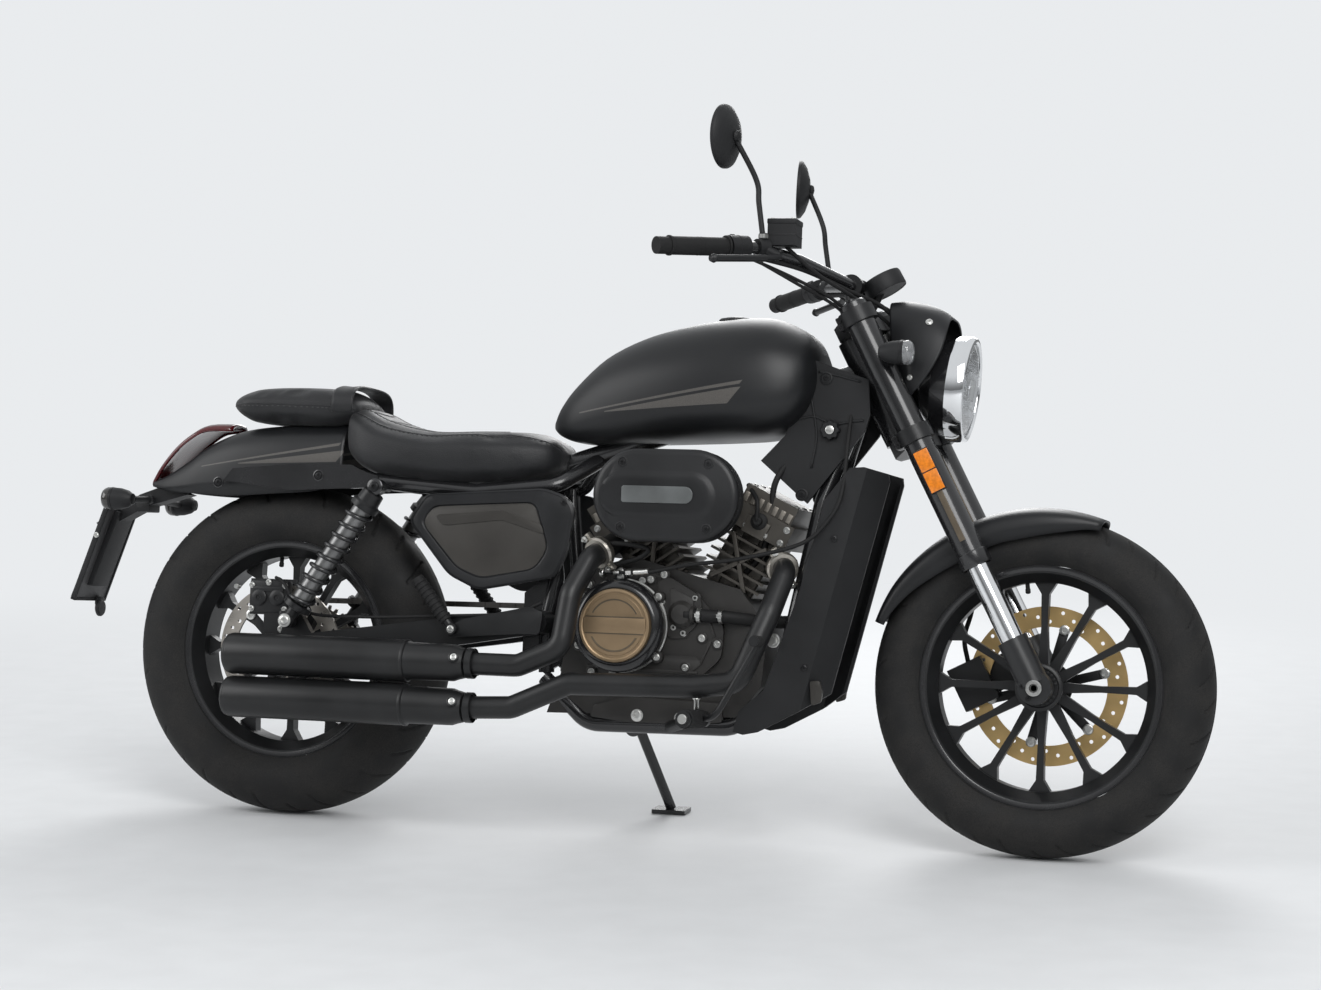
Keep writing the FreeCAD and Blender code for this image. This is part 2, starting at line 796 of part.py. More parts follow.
SHOCK_BRACKET_VIEW = [(20.0, 340.0), (34.0, 392.0), (66.0, 392.0), (96.0, 345.0)]


def make_swingarm():
    """Box-section arms, pivot tube and bridge."""
    pivot = Vector(cell.pivot_x, 0, cell.pivot_z)
    pieces = [
        cylinder("pivot_tube", 22.0, pivot - LEFT * (cell.arm_half + 13), pivot + LEFT * (cell.arm_half + 13)),
        cylinder("arm_bridge", 18.0, Vector(420, -cell.arm_half, 380), Vector(420, cell.arm_half, 380)),
    ]
    half = cell.arm_height / 2
    side_view = [
        (cell.pivot_x, cell.pivot_z - half),
        (cell.pivot_x, cell.pivot_z + half),
        (404.0, 402.0),
        (60.0, cell.rear_tyre_radius + 30),
        (-40.0, cell.rear_tyre_radius + 24),
        (-40.0, cell.rear_tyre_radius - 24),
        (60.0, cell.rear_tyre_radius - 26),
        (404.0, 348.0),
    ]
    for side in (-1, 1):
        low = side * cell.arm_half - cell.arm_width / 2
        pieces.append(slab("arm_%d" % side, side_view, low, low + cell.arm_width))
        pieces.append(slab("shock_bracket_%d" % side, SHOCK_BRACKET_VIEW, low + 4, low + cell.arm_width - 4))
        inner = (cell.rear_hub_half + cell.disc_thickness) if side < 0 else cell.rear_hub_left + 7
        start = Vector(0, side * (inner + cell.running_gap), cell.rear_tyre_radius)
        sleeve_end = Vector(0, side * cell.arm_half, cell.rear_tyre_radius)
        pieces.append(cylinder("rear_sleeve_%d" % side, 16.0, start, sleeve_end))
    reach = cell.arm_half + 24
    pieces.append(cylinder("rear_axle_bar", "Sizes.axle_radius", rear_axle - LEFT * reach, rear_axle + LEFT * reach))
    return fuse("swingarm_whole", pieces)


keep("swingarm", make_swingarm())

PIVOT_PLATE_VIEW = [(500.0, 330.0), (500.0, 450.0), (545.0, 486.0), (592.0, 450.0), (592.0, 330.0), (548.0, 296.0)]


def make_spine():
    """Head tube, backbone and the two rails that drop to the swinging-arm pivot."""
    axis_x = -cell.fork_offset
    low = cell.lower_clamp_height + cell.clamp_thickness + 1
    high = cell.upper_clamp_height - 1
    head = cylinder("head_tube", "Sizes.head_tube_radius", in_fork(axis_x, 0, low), in_fork(axis_x, 0, high))
    bore = cylinder(
        "head_bore", "Sizes.stem_radius + Sizes.running_gap", in_fork(axis_x, 0, low - 2), in_fork(axis_x, 0, high + 2)
    )
    backbone = cylinder("backbone", "Sizes.spine_radius", in_fork(axis_x - 8, 0, low + 150), Vector(560, 0, 700))
    pieces = [head, backbone]
    for side in (-1, 1):
        pieces.append(
            frame_tube(
                "seat_rail_%d" % side,
                [(620, side * 10, 708), (560, side * 80, 655), (400, side * 92, 640), (120, side * 92, 662)],
                50.0,
            )
        )
        pieces.append(
            frame_tube(
                "back_stay_%d" % side,
                [(540, side * 74, 655), (562, side * 66, 480), (545, side * 66, 395), (548, side * 66, 300)],
                50.0,
            )
        )
        low = side * 66.0 - 6
        pieces.append(slab("pivot_plate_%d" % side, PIVOT_PLATE_VIEW, low, low + 12))
    whole = fuse("spine_whole", pieces)
    return cut("spine_bored", whole, [bore, upright["swingarm"]])


spine = keep("frame_spine", make_spine())


# Side stand: where its leg points when it is down and when it is folded back
pivot_point = Vector(cell.stand_pivot_x, cell.stand_pivot_y, cell.stand_pivot_z)


def floor_height(y):
    """Height, in the upright frame, of the floor under a point once the bike leans."""
    return y * math.tan(math.radians(cell.lean))


stand_foot = Vector(cell.stand_foot_x, cell.stand_foot_y, floor_height(cell.stand_foot_y))
leg_down = (stand_foot - pivot_point).normalize()
leg_folded = Vector(-0.97, 0.2, 0.1).normalize()
across = (leg_down - leg_folded).normalize()
stand_axis = (LEFT - across * LEFT.dot(across)).normalize()


def make_cradle(side, hand):
    """Down tube and lower rail of one side; the left one carries the stand's lug and pin."""
    half = side * cell.cradle_half
    low = cell.lower_clamp_height + cell.clamp_thickness
    start = in_fork(-cell.fork_offset - 34, side * 15, low + 96)
    tube = frame_tube(
        "cradle_tube_" + hand,
        [
            tuple(start),
            (1070, side * 46, 640),
            (1010, half, 300),
            (930, half, 212),
            (640, half, 208),
            (548, half * 0.86, 290),
        ],
        60.0,
    )
    if side < 0:
        return tube
    lug = cylinder("stand_lug", 16.0, pivot_point - stand_axis * 58, pivot_point - stand_axis * 8.3)
    pin = cylinder("stand_pin", 6.0, pivot_point - stand_axis * 9, pivot_point + stand_axis * 11)
    washer = cylinder("stand_washer", 11.0, pivot_point + stand_axis * 8.3, pivot_point + stand_axis * 11.5)
    return fuse("cradle_whole_left", [tube, lug, pin, washer])


cradles_raw = both_sides("cradle_pair", make_cradle)
keep("frame_cradles", cut("cradles_fitted", cradles_raw, [spine]))


crank = Vector(cell.crank_x, 0, cell.crank_z)
DRIVE_SPROCKET = (612.0, 384.0)
DRIVE_RADIUS = 36.0


def bank(lean):
    """The frame of a cylinder: Z out along its bore from the crankshaft."""
    return Placement(crank, Rotation(LEFT, lean))


def make_crankcase():
    half = cell.case_half
    side_view = [
        (560.0, 225.0),
        (700.0, 228.0),
        (930.0, 232.0),
        (975.0, 290.0),
        (985.0, 400.0),
        (930.0, 470.0),
        (740.0, 520.0),
        (640.0, 500.0),
        (600.0, 430.0),
        (585.0, 300.0),
    ]
    case = slab("crankcase_block", side_view, -half + 26, half - 26)
    pocket_view = [(540.0, 310.0), (540.0, 460.0), (640.0, 452.0), (672.0, 400.0), (660.0, 330.0)]
    pocket = slab("sprocket_pocket", pocket_view, cell.rear_hub_left - 10, half + 20)
    chain_middle = cell.rear_hub_left + 3.5
    drive = Vector(DRIVE_SPROCKET[0], 0, DRIVE_SPROCKET[1])
    shaft = cylinder("output_shaft", 14.0, drive + LEFT * 60, drive + LEFT * (chain_middle + 3.5))
    wheel = cylinder("output_sprocket", DRIVE_RADIUS - 2, drive + LEFT * (chain_middle - 3.5), drive + LEFT * (chain_middle + 3.5))
    return fuse("crankcase_whole", [cut("crankcase_open", case, [pocket]), shaft, wheel])


crankcase_fits = [spine, upright["swingarm"], upright["frame_cradles"]]
crankcase = keep("crankcase", cut("crankcase_fitted", make_crankcase(), crankcase_fits))


def make_cylinder(name, lean, top):
    """Finned barrel and head of one bank."""
    frame = bank(lean)
    pieces = [block(name + "_barrel", Vector(-48, -56, 90), Vector(48, 56, 240), frame)]
    for i in range(5):
        z = 128.0 + i * 19
        pieces.append(block("%s_fin_%d" % (name, i), Vector(-62, -82, z), Vector(62, 82, z + 5), frame))
    pieces.append(block(name + "_head", Vector(-66, -88, 226), Vector(66, 88, top - 34), frame))
    pieces.append(block(name + "_cover", Vector(-54, -80, top - 36), Vector(54, 80, top), frame))
    return fuse(name + "_whole", pieces)


rear_bank = make_cylinder("rear_bank", -cell.rear_cylinder_lean, 326.0)
front_bank = make_cylinder("front_bank", cell.front_cylinder_lean, 306.0)
keep("cylinder_front", cut("front_bank_fitted", front_bank, [crankcase, spine]))
keep("cylinder_rear", cut("rear_bank_fitted", rear_bank, [crankcase, spine, upright["cylinder_front"]]))

case_wall = cell.case_half - 26
keep(
    "clutch_cover",
    turning(
        "clutch_dome",
        [(0.0, 0.0), ("Sizes.clutch_radius", 0.0), ("Sizes.clutch_radius", 48.0), (76.0, 62.0), (66.0, 62.0), (64.0, 68.0), (0.0, 70.0)],
        Placement(Vector(cell.clutch_x, -case_wall, cell.clutch_z), turned_to(-LEFT)),
    ),
)
keep(
    "generator_cover",
    turning(
        "generator_dome",
        [(0.0, 0.0), (80.0, 0.0), (80.0, 30.0), (66.0, 44.0), (0.0, 50.0)],
        Placement(Vector(cell.crank_x, case_wall, cell.crank_z), turned_to(LEFT)),
    ),
)


def make_air_cleaner():
    """Oval cover on a stub that reaches in between the cylinders."""
    place = Vector(807, 0, 637)
    long_half, round_r = 53.0, 85.0
    pieces = [
        cylinder("cleaner_front", round_r, place + Vector(long_half, -200, 0), place + Vector(long_half, -150, 0)),
        cylinder("cleaner_rear", round_r, place + Vector(-long_half, -200, 0), place + Vector(-long_half, -150, 0)),
        block("cleaner_middle", place + Vector(-long_half, -200, -round_r), place + Vector(long_half, -150, round_r)),
        block("cleaner_plate", place + Vector(-73, -208, -16), place + Vector(73, -198, 16)),
        cylinder("cleaner_stub", 36.0, place + Vector(0, -155, -10), place + Vector(0, 30, -10)),
        cylinder("intake_manifold", 22.0, Vector(690, 0, 600), Vector(930, 0, 600)),
    ]
    return fuse("air_cleaner_whole", pieces)


cleaner_fits = [upright["cylinder_front"], upright["cylinder_rear"], crankcase, spine]
keep("air_cleaner", cut("air_cleaner_fitted", make_air_cleaner(), cleaner_fits))

# header routes: x, y, z
REAR_HEADER = [
    (690.0, -60.0, 560.0),
    (655.0, -150.0, 520.0),
    (632.0, -196.0, 450.0),
    (622.0, -212.0, 350.0),
    (540.0, -212.0, 314.0),
    (440.0, -212.0, 314.0),
]
FRONT_HEADER = [
    (975.0, -40.0, 524.0),
    (1020.0, -112.0, 508.0),
    (1005.0, -165.0, 430.0),
    (960.0, -208.0, 300.0),
    (880.0, -212.0, 290.0),
    (640.0, -212.0, 285.0),
    (530.0, -212.0, 236.0),
    (440.0, -212.0, 232.0),
]


def make_headers():
    rear = pipe("rear_header", "Sizes.header_radius", [Vector(*p) for p in REAR_HEADER], 38.0)
    front = pipe("front_header", "Sizes.header_radius", [Vector(*p) for p in FRONT_HEADER], 38.0)
    return together("header_pair", [rear, front])


def make_muffler(name, height):
    y = -cell.muffler_y
    length = cell.muffler_front - cell.muffler_rear
    can = turning(
        name,
        [
            (0.0, 0.0),
            ("Sizes.muffler_radius - 8", 0.0),
            ("Sizes.muffler_radius", 10.0),
            ("Sizes.muffler_radius", length - 60),
            ("Sizes.header_radius + 6", length),
            (0.0, length),
        ],
        Placement(Vector(cell.muffler_rear, y, height), turned_to(AHEAD)),
    )
    return can


muffler_pair = together(
    "muffler_pair",
    [make_muffler("muffler_upper_can", cell.muffler_upper_z), make_muffler("muffler_lower_can", cell.muffler_lower_z)],
)
keep("mufflers", muffler_pair)
header_fits = [muffler_pair, upright["cylinder_front"], upright["cylinder_rear"], crankcase, upright["frame_cradles"]]
keep("exhaust_headers", cut("headers_fitted", make_headers(), header_fits))

radiator_view = [(1128.0, 696.0), (1158.0, 690.0), (1072.0, 300.0), (1022.0, 300.0), (1082.0, 636.0)]
radiator = slab("radiator_core", radiator_view, -84.0, 84.0)
keep("radiator", cut("radiator_fitted", radiator, [upright["frame_cradles"], spine, upright["exhaust_headers"]]))


SHROUD_VIEW = [
    (1133.0, 700.0),
    (1160.0, 702.0),
    (1198.0, 692.0),
    (1201.0, 677.0),
    (1172.0, 559.0),
    (1138.0, 421.0),
    (1104.0, 284.0),
    (1050.0, 248.0),
    (976.0, 208.0),
    (925.0, 197.0),
    (905.0, 215.0),
    (985.0, 286.0),
    (1047.0, 473.0),
    (1088.0, 640.0),
]
# plan of the right cheek across its slope: distance ahead, distance out
SHROUD_PLAN = [(-150.0, 111.0), (-38.0, 111.0), (6.0, 68.0), (-4.0, 62.0), (-42.0, 105.0), (-150.0, 105.0)]
SHROUD_SLOPE = 13.8


def make_shroud():
    """Cheeks beside the radiator, each turned in towards the grille at its front edge."""
    place = Placement(Vector(1199, 0, 676), Rotation(LEFT, SHROUD_SLOPE))
    cheeks = []
    for side in (-1, 1):
        corners = [place.multVec(Vector(u, side * v, -520)) for u, v in SHROUD_PLAN]
        prism = feature(
            "cheek_prism_%d" % side,
            Part.Face(Part.makePolygon(corners + corners[:1])).extrude(place.Rotation.multVec(Vector(0, 0, 600))),
        )
        view = slab("cheek_view_%d" % side, SHROUD_VIEW, -115.0, 115.0)
        panel = doc.addObject("Part::MultiCommon", "cheek_panel_%d" % side)
        panel.Shapes = [prism, view]
        boss = cylinder("cheek_boss_%d" % side, 9.0, Vector(1018, side * 78.0, 345), Vector(1018, side * 107.0, 345))
        cheeks.append(fuse("cheek_%d" % side, [panel, boss]))
    return together("shroud_pair", cheeks)


shroud_fits = [upright["radiator"], upright["frame_cradles"], upright["exhaust_headers"], spine]
keep("radiator_shroud", cut("shroud_fitted", make_shroud(), shroud_fits))

# tank sections: x, bottom z, top z, half width at the middle, half width at the top
TANK_SECTIONS = [
    (1052.0, 835.0, 925.0, 92.0, 40.0),
    (1000.0, 772.0, 972.0, 132.0, 62.0),
    (880.0, 750.0, 984.0, 146.0, 66.0),
    (700.0, 740.0, 942.0, 118.0, 56.0),
    (600.0, 742.0, 878.0, 84.0, 40.0),
    (536.0, 756.0, 796.0, 40.0, 20.0),
]


def tank_section(x, bottom, top, half, shoulder):
    """Six rounded corners: flat belly, full flank and narrow crown."""
    waist = bottom + (top - bottom) * 0.38
    ease = min(half - shoulder, top - bottom) * 0.42
    return [
        (Vector(x, -half * 0.82, bottom), ease * 0.6),
        (Vector(x, -half, waist), ease),
        (Vector(x, -shoulder, top), ease),
        (Vector(x, shoulder, top), ease),
        (Vector(x, half, waist), ease),
        (Vector(x, half * 0.82, bottom), ease * 0.6),
    ]


tank_raw = loft("tank_skin", [tank_section(*row) for row in TANK_SECTIONS])
keep("fuel_tank", cut("tank_fitted", tank_raw, [spine]))
keep("fuel_cap", cut("cap_fitted", cylinder("cap", 30.0, Vector(880, 0, 960), Vector(880, 0, 992)), [tank_raw]))

# seat sections: x, bottom z, top z, half width
RIDER_SECTIONS = [
    (560.0, 690.0, 738.0, 74.0),
    (480.0, 664.0, 752.0, 112.0),
    (330.0, 656.0, 756.0, 138.0),
    (210.0, 664.0, 772.0, 140.0),
    (128.0, 700.0, 812.0, 116.0),
]
PILLION_SECTIONS = [
    (158.0, 768.0, 806.0, 92.0),
    (100.0, 762.0, 838.0, 104.0),
    (-20.0, 766.0, 838.0, 106.0),
    (-142.0, 784.0, 822.0, 84.0),
]


def seat_section(x, bottom, top, half):
    ease = min(half, (top - bottom) / 2) * 0.62
    return [
        (Vector(x, -half, bottom), ease * 0.5),
        (Vector(x, -half, top), ease),
        (Vector(x, half, top), ease),
        (Vector(x, half, bottom), ease * 0.5),
    ]


rider_raw = loft("rider_cushion", [seat_section(*row) for row in RIDER_SECTIONS])
keep("rider_seat", cut("rider_fitted", rider_raw, [tank_raw, spine]))
pillion_raw = loft("pillion_cushion", [seat_section(*row) for row in PILLION_SECTIONS])
keep("pillion_seat", cut("pillion_fitted", pillion_raw, [upright["rider_seat"]]))

def make_rear_caliper():
    """Caliper over the disc, on a bracket down to the axle."""
    disc = -cell.rear_hub_half - cell.disc_thickness
    bottom = cell.rear_tyre_radius
    body = block("rear_caliper_block", Vector(-56, disc - 24, bottom + 66), Vector(22, disc + 22, bottom + 136))
    bracket = block("rear_caliper_bracket", Vector(-26, disc - 24, bottom - 20), Vector(22, disc - 12, bottom + 80))
    slot = cylinder(
        "rear_caliper_slot",
        "Sizes.rear_disc_radius + 3",
        rear_axle + LEFT * (disc - 3),
        rear_axle + LEFT * (disc + cell.disc_thickness + 3),
    )
    whole = fuse("rear_caliper_whole", [body, bracket])
    return cut("rear_caliper_slotted", whole, [slot, upright["swingarm"]])


keep("rear_caliper", make_rear_caliper())

# Final drive chain: closed loop of blocks, wide outer links and narrow inner ones


def chain_path(offset):
    """The belt line round both sprockets, moved outwards by an offset."""
    rear = Vector(0, 0, cell.rear_tyre_radius)
    front = Vector(DRIVE_SPROCKET[0], 0, DRIVE_SPROCKET[1])
    big = cell.sprocket_radius + offset
    small = DRIVE_RADIUS + offset
    gap = front - rear
    tilt = math.atan2(gap.z, gap.x)
    lean = math.acos((big - small) / gap.Length)

    def on(centre, radius, angle):
        return centre + Vector(radius * math.cos(angle), 0, radius * math.sin(angle))

    upper, lower = tilt + lean, tilt - lean
    return Part.Wire(
        [
            Part.Arc(on(rear, big, upper), on(rear, big, tilt + math.pi), on(rear, big, lower)).toShape(),
            Part.LineSegment(on(rear, big, lower), on(front, small, lower)).toShape(),
            Part.Arc(on(front, small, lower), on(front, small, tilt), on(front, small, upper)).toShape(),
            Part.LineSegment(on(front, small, upper), on(rear, big, upper)).toShape(),
        ]
    )


def make_chain():
    """The loop between the inside and the outside of the links."""
    middle = cell.rear_hub_left + 3.5
    ring = Part.Face(chain_path(8.5)).cut(Part.Face(chain_path(3.0)))
    ring.translate(Vector(0, middle - 8, 0))
    return feature("chain_loop", ring.extrude(Vector(0, 16, 0)))


keep("drive_chain", make_chain())

LAMP_VIEW = [(-308.0, 655.0), (-256.0, 719.0), (-191.0, 765.0), (-97.0, 757.0), (-189.0, 720.0), (-241.0, 669.0)]
FENDER_VIEW = [
    (-308.0, 653.0),
    (-241.0, 668.0),
    (-189.0, 719.0),
    (-97.0, 756.0),
    (117.0, 760.0),
    (128.0, 690.0),
    (228.0, 655.0),
    (213.0, 640.0),
    (23.0, 630.0),
    (-111.0, 619.0),
    (-213.0, 624.0),
    (-307.0, 637.0),
]


def make_rear_fender():
    """Tail body over the rear wheel, hollow for the tyre's travel."""
    outer = slab("fender_block", FENDER_VIEW, -98.0, 98.0)
    arch = cylinder("fender_arch", 372.0, rear_axle - LEFT * 90, rear_axle + LEFT * 90)
    return cut("fender_hollow", outer, [arch, upright["rider_seat"], upright["pillion_seat"], spine])


keep("rear_fender", make_rear_fender())
keep("tail_lamp", cut("tail_lamp_fitted", slab("tail_lamp_block", LAMP_VIEW, -60.0, 60.0), [upright["rear_fender"], upright["pillion_seat"]]))


def make_rail(side, hand):
    """Strut bolted along the tail that carries the fender."""
    view = [(213.0, 643.0), (195.0, 686.0), (23.0, 684.0), (-102.0, 673.0), (-122.0, 649.0), (23.0, 633.0)]
    low = 98.0 if side > 0 else -110.0
    return slab("rail_" + hand, view, low, low + 12.0)


keep("tail_rails", cut("rails_fitted", both_sides("rail_pair", make_rail), [upright["rider_seat"], spine]))


def make_plate_holder():
    """Arm under the tail with the blank plate."""
    arm = slab("plate_arm", [(-290.0, 640.0), (-345.0, 620.0), (-440.0, 560.0), (-425.0, 545.0), (-330.0, 596.0), (-240.0, 622.0)], -22.0, 22.0)
    plate = slab("plate", [(-400.0, 590.0), (-394.0, 592.0), (-462.0, 408.0), (-468.0, 410.0)], -62.0, 62.0)
    return fuse("plate_holder_whole", [arm, plate])


keep("plate_holder", cut("plate_fitted", make_plate_holder(), [upright["rear_fender"]]))


def make_rear_indicator(side, hand):
    stalk = cylinder("rear_indicator_stalk_" + hand, 7.0, Vector(-318, side * 22.0, 610), Vector(-318, side * 122.0, 606))
    pod = cylinder("rear_indicator_pod_" + hand, 21.0, Vector(-362, side * 139.0, 606), Vector(-300, side * 139.0, 606))
    return fuse("rear_indicator_" + hand, [stalk, pod])


rear_indicators_raw = both_sides("rear_indicator_pair", make_rear_indicator)
keep("rear_indicators", cut("rear_indicators_fitted", rear_indicators_raw, [upright["plate_holder"]]))


def make_shock(side, hand):
    """Damper with its spring as a sleeve and an eye at each end."""
    y = side * 154.0
    top = Vector(223, y, 641)
    foot = Vector(48, y, 380)
    line = (top - foot).normalize()
    pieces = [
        cylinder("shock_eye_top_" + hand, 15.0, top - LEFT * 12, top + LEFT * 12),
        cylinder("shock_eye_foot_" + hand, 15.0, foot - LEFT * 12, foot + LEFT * 12),
        cylinder("shock_bolt_top_" + hand, 7.0, Vector(223, side * 96.0, 641), top + LEFT * (side * 16)),
        cylinder("shock_bolt_foot_" + hand, 7.0, Vector(48, side * cell.arm_half, 380), foot + LEFT * (side * 16)),
        cylinder("shock_body_" + hand, 18.0, foot, top),
        cylinder("shock_spring_" + hand, 27.0, foot + line * 40, top - line * 46),
    ]
    return fuse("shock_" + hand, pieces)


shock_fits = [upright["swingarm"], upright["tail_rails"], upright["rider_seat"], upright["rear_fender"], spine]
keep("shocks", cut("shocks_fitted", both_sides("shock_pair", make_shock), shock_fits))

SIDE_COVER_VIEW = [
    (312.0, 631.0),
    (553.0, 648.0),
    (614.0, 608.0),
    (585.0, 485.0),
    (426.0, 451.0),
    (366.0, 478.0),
    (280.0, 580.0),
]


def make_side_cover(side, hand):
    low = 122.0 if side > 0 else -134.0
    panel = slab("side_cover_panel_" + hand, SIDE_COVER_VIEW, low, low + 12.0)
    boss = cylinder("side_cover_boss_" + hand, 8.0, Vector(440, side * 94.0, 630), Vector(440, side * 126.0, 630))
    return fuse("side_cover_" + hand, [panel, boss])


side_cover_fits = [upright["rider_seat"], spine]
keep("side_covers", cut("side_covers_fitted", both_sides("side_cover_pair", make_side_cover), side_cover_fits))

NECK_COVER_VIEW = [(1053.0, 901.0), (1155.0, 866.0), (1160.0, 800.0), (1151.0, 770.0), (1046.0, 634.0), (955.0, 712.0), (1000.0, 760.0)]


def make_neck_cover(side, hand):
    low = 64.0 if side > 0 else -72.0
    return slab("neck_cover_" + hand, NECK_COVER_VIEW, low, low + 8.0)


neck_fits = [tank_raw, spine, upright["frame_cradles"], upright["cylinder_front"]]
keep("neck_covers", cut("neck_covers_fitted", both_sides("neck_cover_pair", make_neck_cover), neck_fits))


def make_footrest(side, hand):
    """Hanger, folding peg and pedal of one side."""
    y = side * (cell.cradle_half + 2)
    hanger = cylinder("peg_hanger_" + hand, 11.0, Vector(800, y, 208), Vector(880, side * 190.0, 231))
    peg = cylinder("peg_" + hand, 15.0, Vector(892, side * 180.0, 231), Vector(878, side * 275.0, 233))
    route = [Vector(850, side * 164.0, 224), Vector(930, side * 246.0, 238), Vector(1005, side * 252.0, 372)]
    pedal = pipe("pedal_" + hand, 6.0, route, 40.0)
    pad = cylinder("pedal_pad_" + hand, 9.0, Vector(1006, side * 236.0, 376), Vector(1006, side * 282.0, 378))
    return fuse("footrest_" + hand, [hanger, peg, pedal, pad])


footrest_fits = [upright["frame_cradles"], upright["exhaust_headers"]]
keep("footrests", cut("footrests_fitted", both_sides("footrest_pair", make_footrest), footrest_fits))


def make_side_stand():
    """Leg with its pivot eye and a pad that lies flat on the floor."""
    leg = cylinder("stand_leg", "Sizes.stand_leg_radius", pivot_point + leg_down * 14, stand_foot + Vector(0, -2, 8))
    head = cylinder("stand_head", 17.0, pivot_point - stand_axis * 8, pivot_point + stand_axis * 8)
    flat = Placement(stand_foot, Rotation(AHEAD, cell.lean))
    pad = block("stand_pad", Vector(-34, -24, -0.4), Vector(34, 24, 7.6), flat)
    whole = fuse("side_stand_whole", [leg, head, pad])
    bore = cylinder("stand_bore", 6.1, pivot_point - stand_axis * 9, pivot_point + stand_axis * 9)
    clear = cylinder("stand_clear", 18.0, pivot_point + stand_axis * 8, pivot_point + stand_axis * 30)
    return cut("side_stand_bored", whole, [bore, clear])


stand = make_side_stand()
keep("side_stand", stand)

doc.recompute()

# Lean on the stand, then bring the origin to the middle of the footprint.
lean_place = Placement(Vector(), Rotation(AHEAD, -cell.lean))
for thing in nodes.values():
    thing.Placement = lean_place.multiply(thing.Placement)
doc.recompute()
bounds = FreeCAD.BoundBox()
for thing in nodes.values():
    bounds.add(thing.Shape.optimalBoundingBox(False, False))
shift = Placement(Vector(-bounds.Center.x, -bounds.Center.y, -bounds.ZMin), Rotation())
for thing in nodes.values():
    thing.Placement = shift.multiply(thing.Placement)
doc.recompute()

for thing in doc.Objects:
    if "Invalid" in thing.State or "Error" in thing.State:
        raise RuntimeError("failed: %s %s" % (thing.Name, thing.State))
for name, thing in nodes.items():
    if thing.Shape.isNull() or not thing.Shape.isValid():
        raise RuntimeError("bad shape: " + name)
    thing.Shape.exportStep("parts/%s.step" % name)
    print(name, len(thing.Shape.Solids), round(thing.Shape.Volume / 1000.0, 1), "cm3")
print("shift", shift.Base, "size", bounds.XLength, bounds.YLength, bounds.ZLength)
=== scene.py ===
import json
import math

import bmesh
import bpy
import numpy as np
from mathutils import Matrix, Vector
from mathutils.bvhtree import BVHTree


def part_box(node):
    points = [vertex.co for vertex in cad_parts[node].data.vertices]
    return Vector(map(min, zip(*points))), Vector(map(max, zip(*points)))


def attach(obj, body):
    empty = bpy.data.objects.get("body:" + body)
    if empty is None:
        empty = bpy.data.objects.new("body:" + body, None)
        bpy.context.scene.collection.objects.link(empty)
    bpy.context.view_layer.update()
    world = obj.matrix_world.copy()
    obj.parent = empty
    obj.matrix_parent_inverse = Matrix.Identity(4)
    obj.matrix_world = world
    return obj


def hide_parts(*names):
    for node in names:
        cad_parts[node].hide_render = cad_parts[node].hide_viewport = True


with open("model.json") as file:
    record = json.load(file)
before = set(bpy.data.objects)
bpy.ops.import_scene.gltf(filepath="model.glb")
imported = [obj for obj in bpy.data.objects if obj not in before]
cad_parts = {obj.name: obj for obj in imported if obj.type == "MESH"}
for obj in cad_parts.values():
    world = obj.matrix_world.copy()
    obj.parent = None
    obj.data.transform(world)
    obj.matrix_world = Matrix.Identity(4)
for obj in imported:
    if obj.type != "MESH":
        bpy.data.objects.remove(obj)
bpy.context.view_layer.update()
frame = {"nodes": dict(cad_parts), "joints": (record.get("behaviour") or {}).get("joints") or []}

# Shapes are drawn in the upright bike's own frame, in millimetres: X forward from the
# rear axle, Y to the rider's left, Z up from the floor. BIKE takes them to the frame's
# metres with the lean of the parked bike, both read from the rear wheel's joint.
joints = {joint["name"]: joint for joint in frame["joints"]}
rear_joint = joints["rear_wheel_spin"]
lean = math.atan2(-rear_joint["axis"][2], rear_joint["axis"][1])
tyre_low, tyre_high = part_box("rear_tyre")
LEAN_TURN = Matrix.Rotation(-lean, 4, "X")
axle_up = LEAN_TURN @ Vector((0, 0, (tyre_high.x - tyre_low.x) / 2))
BIKE = Matrix.Translation(Vector(rear_joint["pos_m"]) - axle_up) @ LEAN_TURN @ Matrix.Scale(0.001, 4)
TO_BIKE = BIKE.inverted()

WHEELBASE = 1485.0
RAKE = math.radians(27.5)
FORK_SPREAD = 105.0
FRONT_AXLE = Vector((WHEELBASE, 0, 312))
REAR_AXLE = Vector((0, 0, 323))
CRANK = Vector((848, 0, 372))
SIDES = (-1, 1)
HANDS = ((-1, "right"), (1, "left"))
LEFT = Vector((0, 1, 0))
AHEAD = Vector((1, 0, 0))
UP = Vector((0, 0, 1))


def aimed(origin, direction, hint=UP):
    """A place at origin whose Z runs along direction and whose X stays close to hint."""
    z = Vector(direction).normalized()
    x = Vector(hint) - z * z.dot(Vector(hint))
    if x.length < 1e-4:
        x = AHEAD - z * z.dot(AHEAD)
    x.normalize()
    turn = Matrix((x, z.cross(x), z)).transposed()
    return Matrix.Translation(Vector(origin)) @ turn.to_4x4()


FORK = Matrix.Translation(FRONT_AXLE) @ Matrix.Rotation(-RAKE, 4, "Y")


def in_fork(x, y, z):
    """A point given along the fork: across, to the left, and up the legs from the axle."""
    return FORK @ Vector((x, y, z))


# Materials


